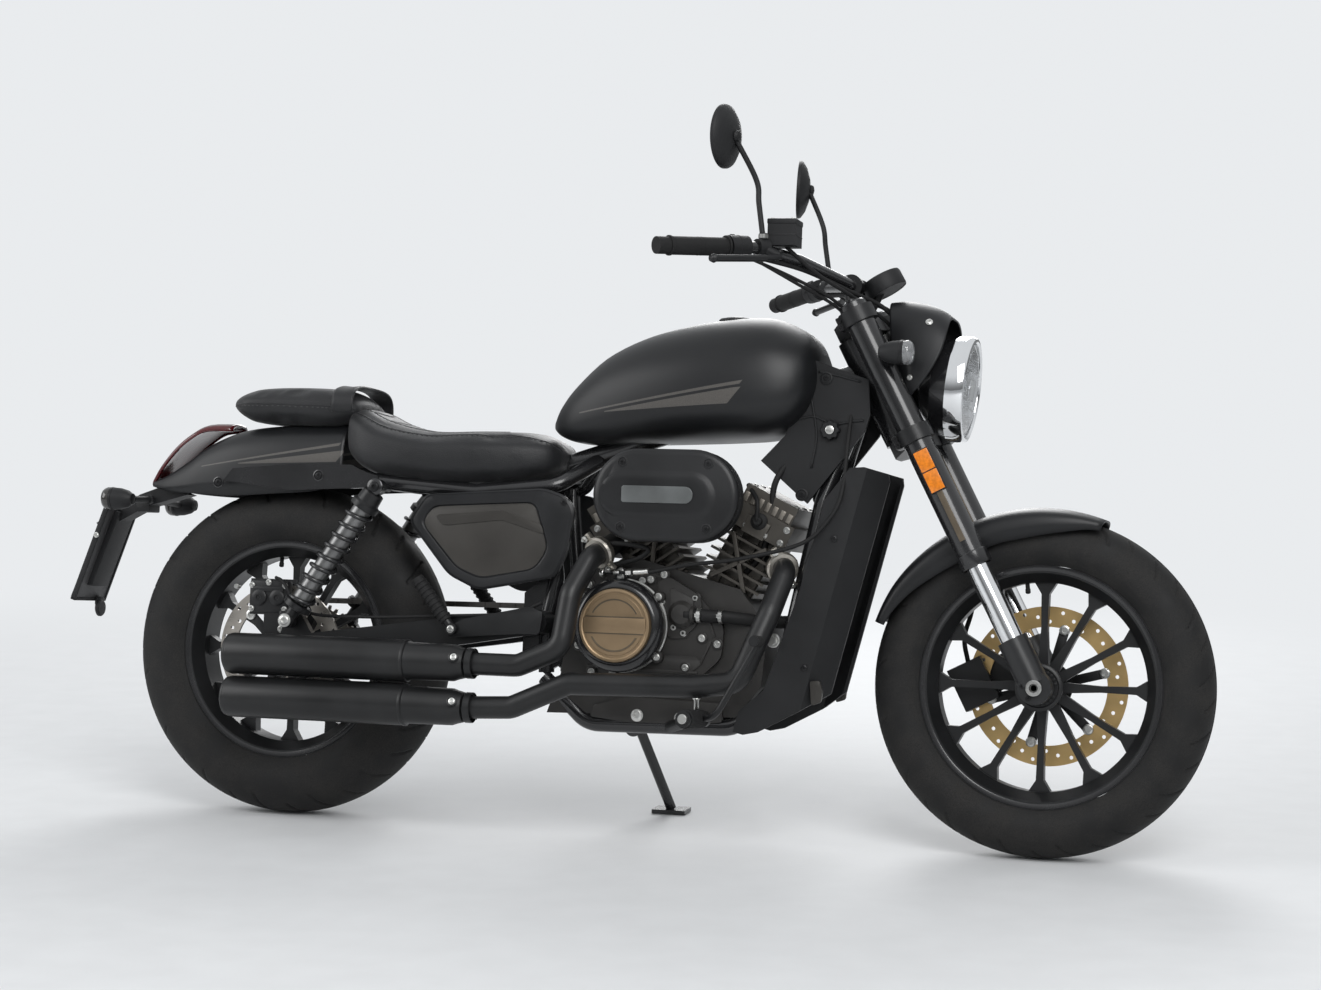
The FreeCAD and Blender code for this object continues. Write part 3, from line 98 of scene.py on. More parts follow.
class Nodes:
    """A material's node tree with short calls for what the finishes share."""

    def __init__(self, name):
        self.material = bpy.data.materials.new(name)
        self.material.use_nodes = True
        self.tree = self.material.node_tree
        self.shader = self.tree.nodes["Principled BSDF"]
        self.coordinates = self.tree.nodes.new("ShaderNodeTexCoord").outputs["Object"]

    def add(self, kind, inputs=(), **settings):
        """A node with its inputs linked or set, and its settings."""
        node = self.tree.nodes.new(kind)
        for key, setting in settings.items():
            setattr(node, key, setting)
        for key, source in dict(inputs).items():
            if isinstance(source, bpy.types.NodeSocket):
                self.tree.links.new(source, node.inputs[key])
            else:
                node.inputs[key].default_value = source
        return node

    def noise(self, size, detail=4.0, stretch=None):
        """Noise whose features are about size metres wide."""
        source = self.coordinates
        if stretch:
            source = self.add("ShaderNodeMapping", {"Vector": source, "Scale": stretch}).outputs[0]
        node = self.add("ShaderNodeTexNoise", {"Vector": source, "Scale": 1.0 / size, "Detail": detail})
        return node.outputs[0]

    def span(self, source, low, high, start=0.3, end=0.7):
        """A value brought from one range to another."""
        inputs = {"Value": source, "From Min": start, "From Max": end, "To Min": low, "To Max": high}
        return self.add("ShaderNodeMapRange", inputs).outputs[0]

    def mix(self, share, first, second):
        """A colour between two by a share."""
        node = self.add("ShaderNodeMix", data_type="RGBA")
        for index, source in ((0, share), (6, first), (7, second)):
            if isinstance(source, bpy.types.NodeSocket):
                self.tree.links.new(source, node.inputs[index])
            else:
                node.inputs[index].default_value = source
        return node.outputs[2]

    def maths(self, operation, first, second=0.0):
        """The result of a maths node."""
        node = self.add("ShaderNodeMath", operation=operation)
        for index, source in ((0, first), (1, second)):
            if isinstance(source, bpy.types.NodeSocket):
                self.tree.links.new(source, node.inputs[index])
            else:
                node.inputs[index].default_value = source
        return node.outputs[0]

    def colour(self, source):
        self.tree.links.new(source, self.shader.inputs["Base Color"])

    def rough(self, source):
        self.tree.links.new(source, self.shader.inputs["Roughness"])

    def bump(self, height, depth, strength=1.0):
        node = self.add("ShaderNodeBump", {"Height": height, "Distance": depth, "Strength": strength})
        self.tree.links.new(node.outputs[0], self.shader.inputs["Normal"])


def rgba(colour):
    return (colour[0], colour[1], colour[2], 1.0)


def finish(
    name, colour, roughness, metallic=0.0, grain=0.0012, depth=0.00005, vary=0.25, spread=0.06, **sockets
):
    """A surface with fine grain, slow changes of tone and uneven gloss."""
    nodes = Nodes(name)
    slow = nodes.noise(0.09, 5.0)
    fine = nodes.noise(grain, 3.0)
    dark = tuple(part * (1 - vary) for part in colour)
    bright = tuple(min(1.0, part * (1 + vary)) for part in colour)
    nodes.colour(nodes.mix(nodes.span(slow, 0.0, 1.0), rgba(dark), rgba(bright)))
    mixed = nodes.maths("ADD", nodes.maths("MULTIPLY", slow, 0.6), nodes.maths("MULTIPLY", fine, 0.4))
    nodes.rough(nodes.span(mixed, max(0.02, roughness - spread), min(1.0, roughness + spread)))
    nodes.bump(fine, depth)
    nodes.shader.inputs["Metallic"].default_value = metallic
    for key, number in sockets.items():
        nodes.shader.inputs[key.replace("_", " ")].default_value = number
    return nodes.material


def leather():
    """Pebbled seat cover: irregular cells with soft valleys, darkened by painted shade in the valleys."""
    nodes = Nodes("leather")
    cells = nodes.add(
        "ShaderNodeTexVoronoi", {"Vector": nodes.coordinates, "Scale": 620.0}, feature="SMOOTH_F1"
    )
    crest = cells.outputs["Distance"]
    slow = nodes.noise(0.12, 4.0)
    tone = nodes.mix(nodes.span(slow, 0.0, 1.0), (0.009, 0.0094, 0.0105, 1), (0.016, 0.0165, 0.018, 1))
    # Painted shade: the colour darkens towards the cell edges, where the bump puts the valleys.
    nodes.colour(nodes.mix(nodes.span(crest, 0.0, 0.5, 0.2, 0.9), tone, (0.008, 0.008, 0.009, 1)))
    nodes.rough(nodes.span(slow, 0.4, 0.52))
    height = nodes.maths("SUBTRACT", 1.0, crest)
    creases = nodes.noise(0.016, 6.0)
    nodes.bump(nodes.maths("ADD", height, nodes.maths("MULTIPLY", creases, 0.8)), 0.00035)
    nodes.shader.inputs["Sheen Weight"].default_value = 0.08
    nodes.shader.inputs["Specular IOR Level"].default_value = 0.36
    return nodes.material


def tyre_rubber():
    """Rubber with patches of road dust."""
    nodes = Nodes("tyre_rubber")
    dust = nodes.noise(0.05, 8.0)
    fine = nodes.noise(0.0016, 4.0)
    share = nodes.span(nodes.maths("MULTIPLY", dust, fine), 0.0, 0.85, 0.18, 0.36)
    nodes.colour(nodes.mix(share, (0.0075, 0.0075, 0.0078, 1), (0.023, 0.0218, 0.0205, 1)))
    nodes.rough(nodes.span(dust, 0.62, 0.82))
    nodes.bump(fine, 0.00012)
    nodes.shader.inputs["Specular IOR Level"].default_value = 0.3
    return nodes.material


def bike_axes(nodes):
    """The upright bike's X, Y and Z, in metres, as sockets."""
    turned = nodes.add(
        "ShaderNodeMapping",
        {"Vector": nodes.coordinates, "Location": TO_BIKE.translation * 0.001, "Rotation": (lean, 0, 0)},
    )
    return nodes.add("ShaderNodeSeparateXYZ", {"Vector": turned.outputs[0]}).outputs


def striped(name, lines):
    """Matte body paint with a grey flash: lines are (start, end, slope, base, narrow, wide) bands."""
    nodes = Nodes(name)
    x, _, z = bike_axes(nodes)
    slow = nodes.noise(0.14, 3.0)
    fine = nodes.noise(0.0009, 2.0)
    paint = nodes.mix(nodes.span(slow, 0.0, 1.0), (0.0085, 0.009, 0.01, 1), (0.0115, 0.012, 0.0132, 1))
    mask = None
    for start, end, slope, base, narrow, wide in lines:
        along = nodes.span(x, 0.0, 1.0, start, end)
        centre = nodes.maths("ADD", nodes.maths("MULTIPLY", nodes.maths("SUBTRACT", x, start), slope), base)
        half = nodes.maths("ADD", narrow, nodes.maths("MULTIPLY", along, wide - narrow))
        off = nodes.maths("ABSOLUTE", nodes.maths("SUBTRACT", z, centre))
        cut_end = nodes.maths("ADD", end, nodes.maths("MULTIPLY", nodes.maths("SUBTRACT", z, centre), 0.9))
        inside = nodes.maths(
            "MULTIPLY", nodes.maths("LESS_THAN", off, half), nodes.maths("LESS_THAN", x, cut_end)
        )
        inside = nodes.maths("MULTIPLY", inside, nodes.maths("GREATER_THAN", x, start))
        mask = inside if mask is None else nodes.maths("MAXIMUM", mask, inside)
    flash = nodes.mix(nodes.span(fine, 0.0, 1.0), (0.062, 0.058, 0.054, 1), (0.105, 0.098, 0.09, 1))
    nodes.colour(nodes.mix(mask, paint, flash))
    nodes.rough(nodes.span(slow, 0.36, 0.44))
    nodes.shader.inputs["Specular IOR Level"].default_value = 0.38
    nodes.bump(fine, 0.00002)
    return nodes.material


def lens(name, colour, rough=0.05, alpha=1.0, transmission=0.0):
    """Moulded lens with faint ribs."""
    nodes = Nodes(name)
    ripple = nodes.noise(0.006, 2.0)
    darker = tuple(part * 0.7 for part in colour)
    nodes.colour(nodes.mix(nodes.span(ripple, 0.0, 1.0), rgba(colour), rgba(darker)))
    nodes.rough(nodes.span(ripple, rough, rough + 0.06))
    nodes.bump(ripple, 0.0004)
    nodes.shader.inputs["Alpha"].default_value = alpha
    nodes.shader.inputs["Transmission Weight"].default_value = transmission
    nodes.shader.inputs["Coat Weight"].default_value = 0.6
    return nodes.material


# start, end, slope, height at the start, half width there, half width at the end, in metres
TANK_LINES = [(0.599, 0.93, 0.175, 0.795, 0.0012, 0.0032), (0.655, 0.917, 0.118, 0.797, 0.0008, 0.0145)]
TAIL_LINES = [(-0.184, 0.115, 0.163, 0.677, 0.0010, 0.0028), (-0.1, 0.119, 0.082, 0.684, 0.0008, 0.0110)]
PAINT = striped("body_paint", TANK_LINES)
TAIL_PAINT = striped("tail_paint", TAIL_LINES)
# Darker bronze: the real inlays of the fork legs, and also the lines of painted shade on the clutch cap.
BRONZE_DARK = finish("bronze_inlay_and_painted_shade", (0.13, 0.105, 0.075), 0.42, 0.6, grain=0.0012, depth=0.00005)
BLACK_STEEL = finish("black_steel", (0.02, 0.02, 0.021), 0.34, 0.6, grain=0.001, depth=0.00004)
SWITCH_RED = finish("switch_red", (0.35, 0.012, 0.01), 0.4, grain=0.001, depth=0.00004)
SATIN = finish(
    "satin_lid", (0.0095, 0.0097, 0.0105), 0.36, grain=0.0009, depth=0.00004, Specular_IOR_Level=0.38
)
HEADS_BRIGHT = finish("head_ridge_alloy", (0.3, 0.275, 0.24), 0.38, 0.8, grain=0.0014, depth=0.0001)
SHOCK_BODY = finish("shock_body", (0.2, 0.2, 0.2), 0.34, 0.9, grain=0.001, depth=0.00004)
PLAIN_PAINT = finish(
    "plain_paint", (0.009, 0.0094, 0.0105), 0.42, grain=0.0009, depth=0.00002, Specular_IOR_Level=0.36
)
LEATHER = leather()
THREAD = finish("seat_thread", (0.05, 0.05, 0.052), 0.7, grain=0.0006, depth=0.00008)
TYRE = tyre_rubber()
CAST = finish(
    "satin_casting", (0.01, 0.0103, 0.011), 0.38, grain=0.0014, depth=0.00006, Specular_IOR_Level=0.38
)
GLOSS = finish("frame_gloss", (0.012, 0.012, 0.013), 0.24, grain=0.003, depth=0.00003, Coat_Weight=0.4)
PLASTIC = finish(
    "grained_plastic", (0.011, 0.0113, 0.0122), 0.54, grain=0.0011, depth=0.0001, Specular_IOR_Level=0.32
)
RUBBER = finish("soft_rubber", (0.01, 0.01, 0.0103), 0.68, grain=0.002, depth=0.00006, Specular_IOR_Level=0.3)
HEAT = finish(
    "heat_black", (0.0105, 0.0107, 0.0112), 0.38, grain=0.0012, depth=0.00004, vary=0.35,
    Specular_IOR_Level=0.4,
)
ENGINE = finish("engine_paint", (0.024, 0.0225, 0.021), 0.46, 0.15, grain=0.0016, depth=0.00012, vary=0.3)
HEADS = finish("head_alloy", (0.085, 0.078, 0.068), 0.42, 0.55, grain=0.0018, depth=0.00015, vary=0.3)
ALLOY = finish("bare_alloy", (0.5, 0.47, 0.42), 0.34, 0.9, grain=0.0016, depth=0.0001)
CHROME = finish("chrome", (0.82, 0.83, 0.84), 0.07, 1.0, grain=0.004, depth=0.00001, vary=0.04, spread=0.03)
STEEL = finish("zinc_steel", (0.6, 0.6, 0.58), 0.3, 1.0, grain=0.001, depth=0.00005)
GOLD = finish("gold_disc", (0.62, 0.43, 0.19), 0.34, 0.85, grain=0.0007, depth=0.00008, vary=0.15)
DISC = finish("ground_disc", (0.46, 0.43, 0.39), 0.3, 0.95, grain=0.0007, depth=0.00008)
BRONZE = finish("bronze_cover", (0.3, 0.215, 0.13), 0.4, 0.75, grain=0.0012, depth=0.00006, vary=0.12)
INSET = finish("inset_panel", (0.036, 0.033, 0.029), 0.42, 0.2, grain=0.001, depth=0.00003, vary=0.15)
CHAIN = finish("oiled_chain", (0.2, 0.19, 0.18), 0.34, 0.9, grain=0.0015, depth=0.00008)
PLATE = finish("blank_plate", (0.05, 0.05, 0.052), 0.5, grain=0.002, depth=0.00005)
BADGE = finish("brushed_badge", (0.17, 0.18, 0.18), 0.36, 0.7, grain=0.0006, depth=0.00006)
MIRROR = finish("mirror_glass", (0.9, 0.91, 0.92), 0.02, 1.0, grain=0.05, depth=0.0, vary=0.01, spread=0.01)
# Near-black and rough: painted shade for the far end of the silencers' outlets.
DARK = finish("painted_outlet_shade", (0.004, 0.004, 0.004), 0.8, grain=0.004, depth=0.0001)
RED = lens("red_lens", (0.09, 0.006, 0.008))
AMBER = lens("amber_reflector", (0.85, 0.24, 0.012), 0.12)
SMOKE = lens("smoked_lens", (0.03, 0.028, 0.026), 0.1)
CLEAR = lens("clear_lens", (0.82, 0.84, 0.86), 0.04, transmission=0.75)


def two_tone(name, limit):
    """Black casting below a height along the fork legs, chrome above it."""
    nodes = Nodes(name)
    along = (BIKE.to_3x3() @ (FORK.to_3x3() @ UP)).normalized()
    foot = BIKE @ in_fork(0, 0, limit)
    height = nodes.add(
        "ShaderNodeVectorMath", {0: nodes.coordinates, 1: along}, operation="DOT_PRODUCT"
    ).outputs["Value"]
    bright = nodes.maths("GREATER_THAN", height, foot.dot(along))
    slow, fine = nodes.noise(0.09, 5.0), nodes.noise(0.0014, 3.0)
    black = nodes.mix(nodes.span(slow, 0.0, 1.0), (0.011, 0.0115, 0.0125, 1), (0.017, 0.0175, 0.0185, 1))
    nodes.colour(nodes.mix(bright, black, (0.82, 0.83, 0.84, 1)))
    nodes.rough(nodes.maths("SUBTRACT", nodes.span(slow, 0.3, 0.42), nodes.maths("MULTIPLY", bright, 0.28)))
    nodes.tree.links.new(bright, nodes.shader.inputs["Metallic"])
    nodes.bump(fine, 0.00003)
    return nodes.material


SLIDER = two_tone("fork_leg", 97.0)


# Shapes


class Shape:
    """Collects faces drawn in the bike's frame and turns them into one riding piece."""

    def __init__(self):
        self.mesh = bmesh.new()

    def skin(self, rings, closed=True, caps=True):
        """Faces between rings of points; closed joins each ring's end to its start."""
        rows = [[self.mesh.verts.new(point) for point in ring] for ring in rings]
        count = len(rings[0])
        last = count if closed else count - 1
        for here, there in zip(rows, rows[1:]):
            for i in range(last):
                j = (i + 1) % count
                self.mesh.faces.new((here[i], here[j], there[j], there[i]))
        if caps and closed:
            self.mesh.faces.new(list(reversed(rows[0])))
            self.mesh.faces.new(rows[-1])
        return self

    def lathe(self, profile, place, steps=40, caps=False):
        """A profile of (radius, height) pairs turned about the place's Z."""
        rings = []
        for radius, height in profile:
            ring = []
            for i in range(steps):
                angle = 2 * math.pi * i / steps
                point = Vector((radius * math.cos(angle), radius * math.sin(angle), height))
                ring.append(place @ point)
            rings.append(ring)
        return self.skin(rings, caps=caps)

    def rod(self, start, end, radius, steps=20):
        """A straight bar with its edges taken off."""
        start, end = Vector(start), Vector(end)
        place = aimed(start, end - start)
        length = (end - start).length
        edge = min(radius, length) * 0.12
        profile = [(radius - edge, 0), (radius, edge), (radius, length - edge), (radius - edge, length)]
        return self.lathe(profile, place, steps, caps=True)

    def tube(self, points, radius, steps=12, fineness=6):
        """A round tube along a smooth curve through the points."""
        path = smooth_path([Vector(p) for p in points], fineness)
        return self.skin(tube_rings(path, radius, steps))

    def box(self, low, high, place=None, round_off=0.0):
        """A block between two opposite corners, given in any order, with its edges taken off."""
        place = place or Matrix()
        low, high = Vector(map(min, low, high)), Vector(map(max, low, high))
        part = bmesh.new()
        bmesh.ops.create_cube(part, size=1.0)
        middle, size = (low + high) / 2, high - low
        for vertex in part.verts:
            vertex.co = Vector(vertex.co[i] * size[i] + middle[i] for i in range(3))
        if round_off:
            bmesh.ops.bevel(
                part, geom=part.edges[:], offset=round_off, segments=2, profile=0.6, affect="EDGES"
            )
        return self.take(part, place)

    def plate(self, corners, near, far, round_off=0.0, place=None, fillet=0.0):
        """A panel cut to a side view of (x, z) corners, between two Y values in any order."""
        low, high = sorted((near, far))
        outline = rounded(corners, fillet) if fillet else corners
        part = bmesh.new()
        front = [part.verts.new((x, low, z)) for x, z in outline]
        back = [part.verts.new((x, high, z)) for x, z in outline]
        part.faces.new(front)
        part.faces.new(list(reversed(back)))
        count = len(outline)
        for i in range(count):
            j = (i + 1) % count
            part.faces.new((front[j], front[i], back[i], back[j]))
        if round_off:
            rims = [edge for edge in part.edges if abs(edge.verts[0].co.y - edge.verts[1].co.y) < 1e-6]
            bmesh.ops.bevel(part, geom=rims, offset=round_off, segments=3, profile=0.5, affect="EDGES")
        return self.take(part, place or Matrix())

    def bolt(self, point, direction, radius=6.0, height=4.0):
        """A socket-head screw: a turned head with a six-sided hole."""
        place = aimed(point, direction)
        hole = radius * 0.5
        profile = [
            (radius * 1.25, 0), (radius * 1.25, height * 0.25), (radius, height * 0.3),
            (radius, height * 0.85), (radius * 0.86, height), (hole, height), (hole, height * 0.35),
            (0.05, height * 0.35),
        ]
        return self.lathe(profile, place, 18, caps=True)

    def take(self, part, place):
        """Adds a part's faces at a place."""
        part.transform(place)
        keep = bpy.data.meshes.new("part")
        part.to_mesh(keep)
        part.free()
        self.mesh.from_mesh(keep)
        bpy.data.meshes.remove(keep)
        return self

    def done(self, name, body, slot, material, replaces=(), sharp=34.0):
        """Makes the piece, in metres, and lets it ride."""
        mesh = bpy.data.meshes.new(name)
        bmesh.ops.remove_doubles(self.mesh, verts=self.mesh.verts, dist=0.001)
        bmesh.ops.recalc_face_normals(self.mesh, faces=self.mesh.faces)
        self.mesh.to_mesh(mesh)
        self.mesh.free()
        mesh.transform(BIKE)
        return placed(name, mesh, body, material, replaces, sharp)


def placed(name, mesh, body, material, replaces=(), sharp=34.0):
    """Links a mesh with its material and lets it ride a body."""
    thing = bpy.data.objects.new(name, mesh)
    bpy.context.scene.collection.objects.link(thing)
    mesh.materials.clear()
    mesh.materials.append(material)
    mesh.polygons.foreach_set("use_smooth", [True] * len(mesh.polygons))
    if sharp:
        mesh.set_sharp_from_angle(angle=math.radians(sharp))
    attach(thing, body)
    if replaces:
        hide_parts(*replaces)
    return thing


def rounded(corners, fillet, steps=5):
    """An outline with each corner turned into a short arc."""
    points = [Vector((x, z)) for x, z in corners]
    out = []
    for i, corner in enumerate(points):
        back = points[i - 1] - corner
        on = points[(i + 1) % len(points)] - corner
        trim = min(fillet, back.length * 0.45, on.length * 0.45)
        start, end = corner + back.normalized() * trim, corner + on.normalized() * trim
        for k in range(steps + 1):
            share = k / steps
            bend = (1 - share) ** 2 * start + 2 * share * (1 - share) * corner + share ** 2 * end
            out.append((bend.x, bend.y))
    return out


def smooth_path(points, fineness=6):
    """Points along a curve that passes smoothly through the given ones."""
    if len(points) == 2:
        return points
    ends = [2 * points[0] - points[1]] + points + [2 * points[-1] - points[-2]]
    path = []
    for i in range(1, len(ends) - 2):
        before, here, there, after = ends[i - 1], ends[i], ends[i + 1], ends[i + 2]
        for k in range(fineness):
            t = k / fineness
            near = 2 * here + (there - before) * t
            far = (2 * before - 5 * here + 4 * there - after) * t * t
            last = (3 * here - before - 3 * there + after) * t * t * t
            path.append((near + far + last) * 0.5)
    path.append(points[-1])
    return path


def tube_rings(path, radius, steps):
    """Rings about a path, each turned from the last with no twist."""
    rings = []
    hint = UP
    for i, point in enumerate(path):
        direction = path[min(i + 1, len(path) - 1)] - path[max(i - 1, 0)]
        place = aimed(point, direction, hint)
        hint = place.to_3x3().col[0]
        size = radius[i] if isinstance(radius, list) else radius
        ring = []
        for k in range(steps):
            angle = 2 * math.pi * k / steps
            ring.append(place @ Vector((size * math.cos(angle), size * math.sin(angle), 0)))
        rings.append(ring)
    return rings


def between(table, share):
    """A row of a table, smoothly between its rows; the first column is the place along it."""
    rows = [Vector(row[:]) for row in table]
    count = len(rows) - 1
    spot = min(max(share, 0.0), 1.0) * count
    i = min(int(spot), count - 1)
    t = spot - i
    before, here, there, after = rows[max(i - 1, 0)], rows[i], rows[i + 1], rows[min(i + 2, count)]
    near = 2 * here + (there - before) * t
    far = (2 * before - 5 * here + 4 * there - after) * t * t
    last = (3 * here - before - 3 * there + after) * t * t * t
    return (near + far + last) * 0.5


def power(value, exponent):
    """A power that keeps the sign."""
    return math.copysign(abs(value) ** exponent, value)


# Wheels and tyres

# share of the half width, drop below the crown as a share of the half width
TYRE_PROFILE = [
    (0, 0), (0.3, 0.035), (0.56, 0.13), (0.78, 0.3), (0.93, 0.54), (0.995, 0.82), (0.97, 1.08), (0.86, 1.32)
]
# end, crown radius, half width, rim radius, half width of the rim, sipe pitch, sipe skew, axle
TYRES = [
    ("front", 312.0, 62.0, 222.0, 46.0, 58.0, 0.95, FRONT_AXLE),
    ("rear", 323.0, 76.0, 213.0, 58.0, 66.0, 0.7, REAR_AXLE),
]
AROUND = 1100
SIPE_WIDTH = 5.0
SIPE_DEPTH = 3.4
LINE_PLACE = 11.0
LINE_WIDTH = 1.6
LINE_DEPTH = 1.6


def tyre(end, crown, half, rim, rim_half, pitch, skew, axle):
    """Tyre with its slanted sipes and centre lines cut into the tread."""
    curve = smooth_path([Vector((y * half, crown - drop * half, 0)) for y, drop in TYRE_PROFILE], 5)
    curve += [Vector((rim_half + 1, rim + 0.6, 0)), Vector((rim_half - 5, rim + 0.6, 0))]
    wall = [(p.x, p.y) for p in curve]
    inside = [(half * 0.45, crown - 14.0)]
    side = wall + inside
    section = [(-y, r) for y, r in reversed(side)] + side[1:]
    across = np.array([y for y, r in section])
    radius = np.array([r for y, r in section])
    turns = np.arange(AROUND) / AROUND
    girth = 2 * math.pi * crown
    count = round(girth / pitch)
    step = girth / count
    reach = np.abs(across) / half
    tread = (radius > crown - half * 0.5) & (reach < 0.9)
    tread[0] = tread[-1] = False
    hand = np.where(across < 0, 0.5, 0.0)
    phase = turns[:, None] * count + hand[None, :] + skew * reach[None, :] ** 1.4
    off = np.abs((phase % 1.0) - 0.5) * step
    width = SIPE_WIDTH * (0.35 + 0.65 * np.clip((reach - 0.15) / 0.4, 0, 1))
    alternate = np.floor(phase) % 2
    outer_end = np.where(alternate > 0, 0.86, 0.7)
    cut = (off < width[None, :] / 2 + 0.8) & (reach[None, :] > 0.2) & (reach[None, :] < outer_end)
    depth = np.where(cut, SIPE_DEPTH, 0.0)
    centre = np.abs(np.abs(across) - LINE_PLACE) < LINE_WIDTH
    depth = np.maximum(depth, np.where(centre[None, :], LINE_DEPTH, 0.0))
    depth = np.where(tread[None, :], depth, 0.0)
    r = radius[None, :] - depth
    angle = (turns * 2 * math.pi)[:, None]
    points = np.stack(
        [r * np.cos(angle) + axle.x, np.broadcast_to(across, r.shape), r * np.sin(angle) + axle.z], -1
    )
    columns = len(section)
    here = np.arange(AROUND)[:, None] * columns + np.arange(columns)[None, :]
    there = np.roll(here, -1, 0)
    beside = np.roll(here, -1, 1)
    faces = np.stack([here, there, np.roll(there, -1, 1), beside], -1).reshape(-1, 4)
    mesh = bpy.data.meshes.new(end + "_tyre_tread")
    mesh.from_pydata(points.reshape(-1, 3).tolist(), [], faces.tolist())
    mesh.transform(BIKE)
    placed(end + "_tyre_tread", mesh, end + "_wheel", TYRE, [end + "_tyre"], 50.0)


for row in TYRES:
    tyre(*row)


def drilled_disc(name, body, material, axle, y, radius, inner, thickness, slot):
    """A brake ring with rows of drilled holes, built sector by sector, so the holes are real."""
    shape = Shape()
    sectors = 36
    for i in range(sectors):
        middle = 2 * math.pi * i / sectors
        share = ((i % 3) - 1) * 0.24
        centre_r = (radius + inner) / 2 + share * (radius - inner)
        half = math.pi / sectors
        hole = 3.6
        steps = 16
        near, far, bore_near, bore_far = [], [], [], []
        for k in range(steps):
            angle = 2 * math.pi * k / steps
            u, v = math.cos(angle), math.sin(angle)
            stretch = 1.0 / max(abs(u), abs(v))
            edge_r = (radius + inner) / 2 + v * stretch * (radius - inner) / 2
            edge_a = middle + u * stretch * half
            edge = Vector((edge_r * math.cos(edge_a), 0, edge_r * math.sin(edge_a)))
            bore_r = centre_r + hole * v
            bore_a = middle + hole * u / centre_r
            bore = Vector((bore_r * math.cos(bore_a), 0, bore_r * math.sin(bore_a)))
            for store, point, low in (
                (near, edge, 0), (far, edge, thickness), (bore_near, bore, 0), (bore_far, bore, thickness)
            ):
                store.append(axle + point + Vector((0, y + low, 0)))
        shape.skin([bore_near, near], caps=False)
        shape.skin([far, bore_far], caps=False)
        shape.skin([bore_far, bore_near], caps=False)
        rim_steps = [k for k in range(steps) if abs(math.sin(2 * math.pi * k / steps)) > 0.7]
        for k in rim_steps:
            j = (k + 1) % steps
            if j in rim_steps:
                corners = [near[k], near[j], far[j], far[k]]
                shape.mesh.faces.new([shape.mesh.verts.new(corner) for corner in corners])
    shape.done(name, body, slot, material, (), 30.0)


drilled_disc("front_disc_ring", "front_wheel", GOLD, FRONT_AXLE, 60.0, 148.0, 110.0, 5.0, "gold_steel")
drilled_disc("rear_disc_ring", "rear_wheel", DISC, REAR_AXLE, -77.0, 126.0, 93.0, 5.0, "disc_steel")


def disc_carrier(name, body, axle, low, thickness, inner, disc_node):
    """Black carrier with its arms and the bright buttons that hold the ring."""
    carrier = Shape()
    along = aimed(axle + Vector((0, low, 0)), LEFT)
    carrier.lathe(
        [(15.0, 0), (46.0, 0), (46.0, thickness), (15.0, thickness), (15.0, 0)], along, 48, caps=True
    )
    for i in range(6):
        turn = along @ Matrix.Rotation(math.radians(60 * i + 15), 4, "Z")
        carrier.box((40, -9, 0.4), (inner - 4, 9, thickness - 0.4), turn, 1.0)
    carrier.done(name, body, "black_cast", CAST, [disc_node])
    buttons = Shape()
    for i in range(6):
        angle = math.radians(60 * i + 15)
        for facing in SIDES:
            centre = along @ Vector(
                (inner * math.cos(angle), inner * math.sin(angle), thickness / 2 + facing * thickness / 2)
            )
            place = aimed(centre - LEFT * facing * 0.5, LEFT * facing)
            buttons.lathe(
                [(10.0, 0), (10.0, 2.2), (8.6, 3.0), (4.6, 3.0), (4.2, 1.4), (0.05, 1.4)], place, 20,
                caps=True,
            )
    buttons.done(name + "_buttons", body, "bright_steel", STEEL)


disc_carrier("front_disc_carrier", "front_wheel", FRONT_AXLE, 60.0, 5.0, 108.0, "front_disc")
disc_carrier("rear_disc_carrier", "rear_wheel", REAR_AXLE, -77.0, 5.0, 91.0, "rear_disc")


# Soft seats


def cushion_rings(table, stations, ring_points, square, lift=0.0):
    """Closed rings across the bike, rounder at the ends; columns x, bottom, top, half."""
    rings = []
    for i in range(stations + 1):
        share = i / stations
        x, bottom, top, half = between(table, share)
        ring = []
        for k in range(ring_points):
            angle = 2 * math.pi * k / ring_points
            y = half * power(math.cos(angle), square)
            z = (top + bottom) / 2 + (top - bottom) / 2 * power(math.sin(angle), square)
            crown = lift * max(0.0, math.sin(angle)) * (1 - (y / max(half, 1)) ** 2)
            ring.append(Vector((x, y, z + crown)))
        rings.append(ring)
    return rings


def swell(thing, voxel, pressure, cap):
    """Inflates a cover with the cloth solver, holding every point within cap of its start."""
    remesh = thing.modifiers.new("even", "REMESH")
    remesh.mode = "VOXEL"
    remesh.voxel_size = voxel
    bake(thing)
    start = np.array([vertex.co[:] for vertex in thing.data.vertices])
    cloth = thing.modifiers.new("cover", "CLOTH")
    cloth.settings.quality = 4
    cloth.settings.mass = 0.2
    cloth.settings.use_pressure = True
    cloth.settings.uniform_pressure_force = pressure
    cloth.settings.effector_weights.gravity = 0.0
    cloth.point_cache.frame_start = 1
    cloth.point_cache.frame_end = 20
    for number in range(1, 21):
        bpy.context.scene.frame_set(number)
    evaluated = thing.evaluated_get(bpy.context.evaluated_depsgraph_get())
    moved = np.array([vertex.co[:] for vertex in evaluated.data.vertices])
    thing.modifiers.remove(cloth)
    bpy.context.scene.frame_set(1)
    move = moved - start
    length = np.maximum(np.linalg.norm(move, axis=1, keepdims=True), 1e-9)
    start += move * np.minimum(1.0, cap / length)
    thing.data.vertices.foreach_set("co", start.ravel())
    thing.data.update()
    smooth = thing.modifiers.new("smooth", "SMOOTH")
    smooth.iterations = 4
    bake(thing)
    mesh = thing.data
    mesh.polygons.foreach_set("use_smooth", [True] * len(mesh.polygons))


def bake(thing):
    """Applies the modifiers to the mesh."""
    evaluated = thing.evaluated_get(bpy.context.evaluated_depsgraph_get())
    fresh = bpy.data.meshes.new_from_object(evaluated)
    thing.modifiers.clear()
    thing.data = fresh


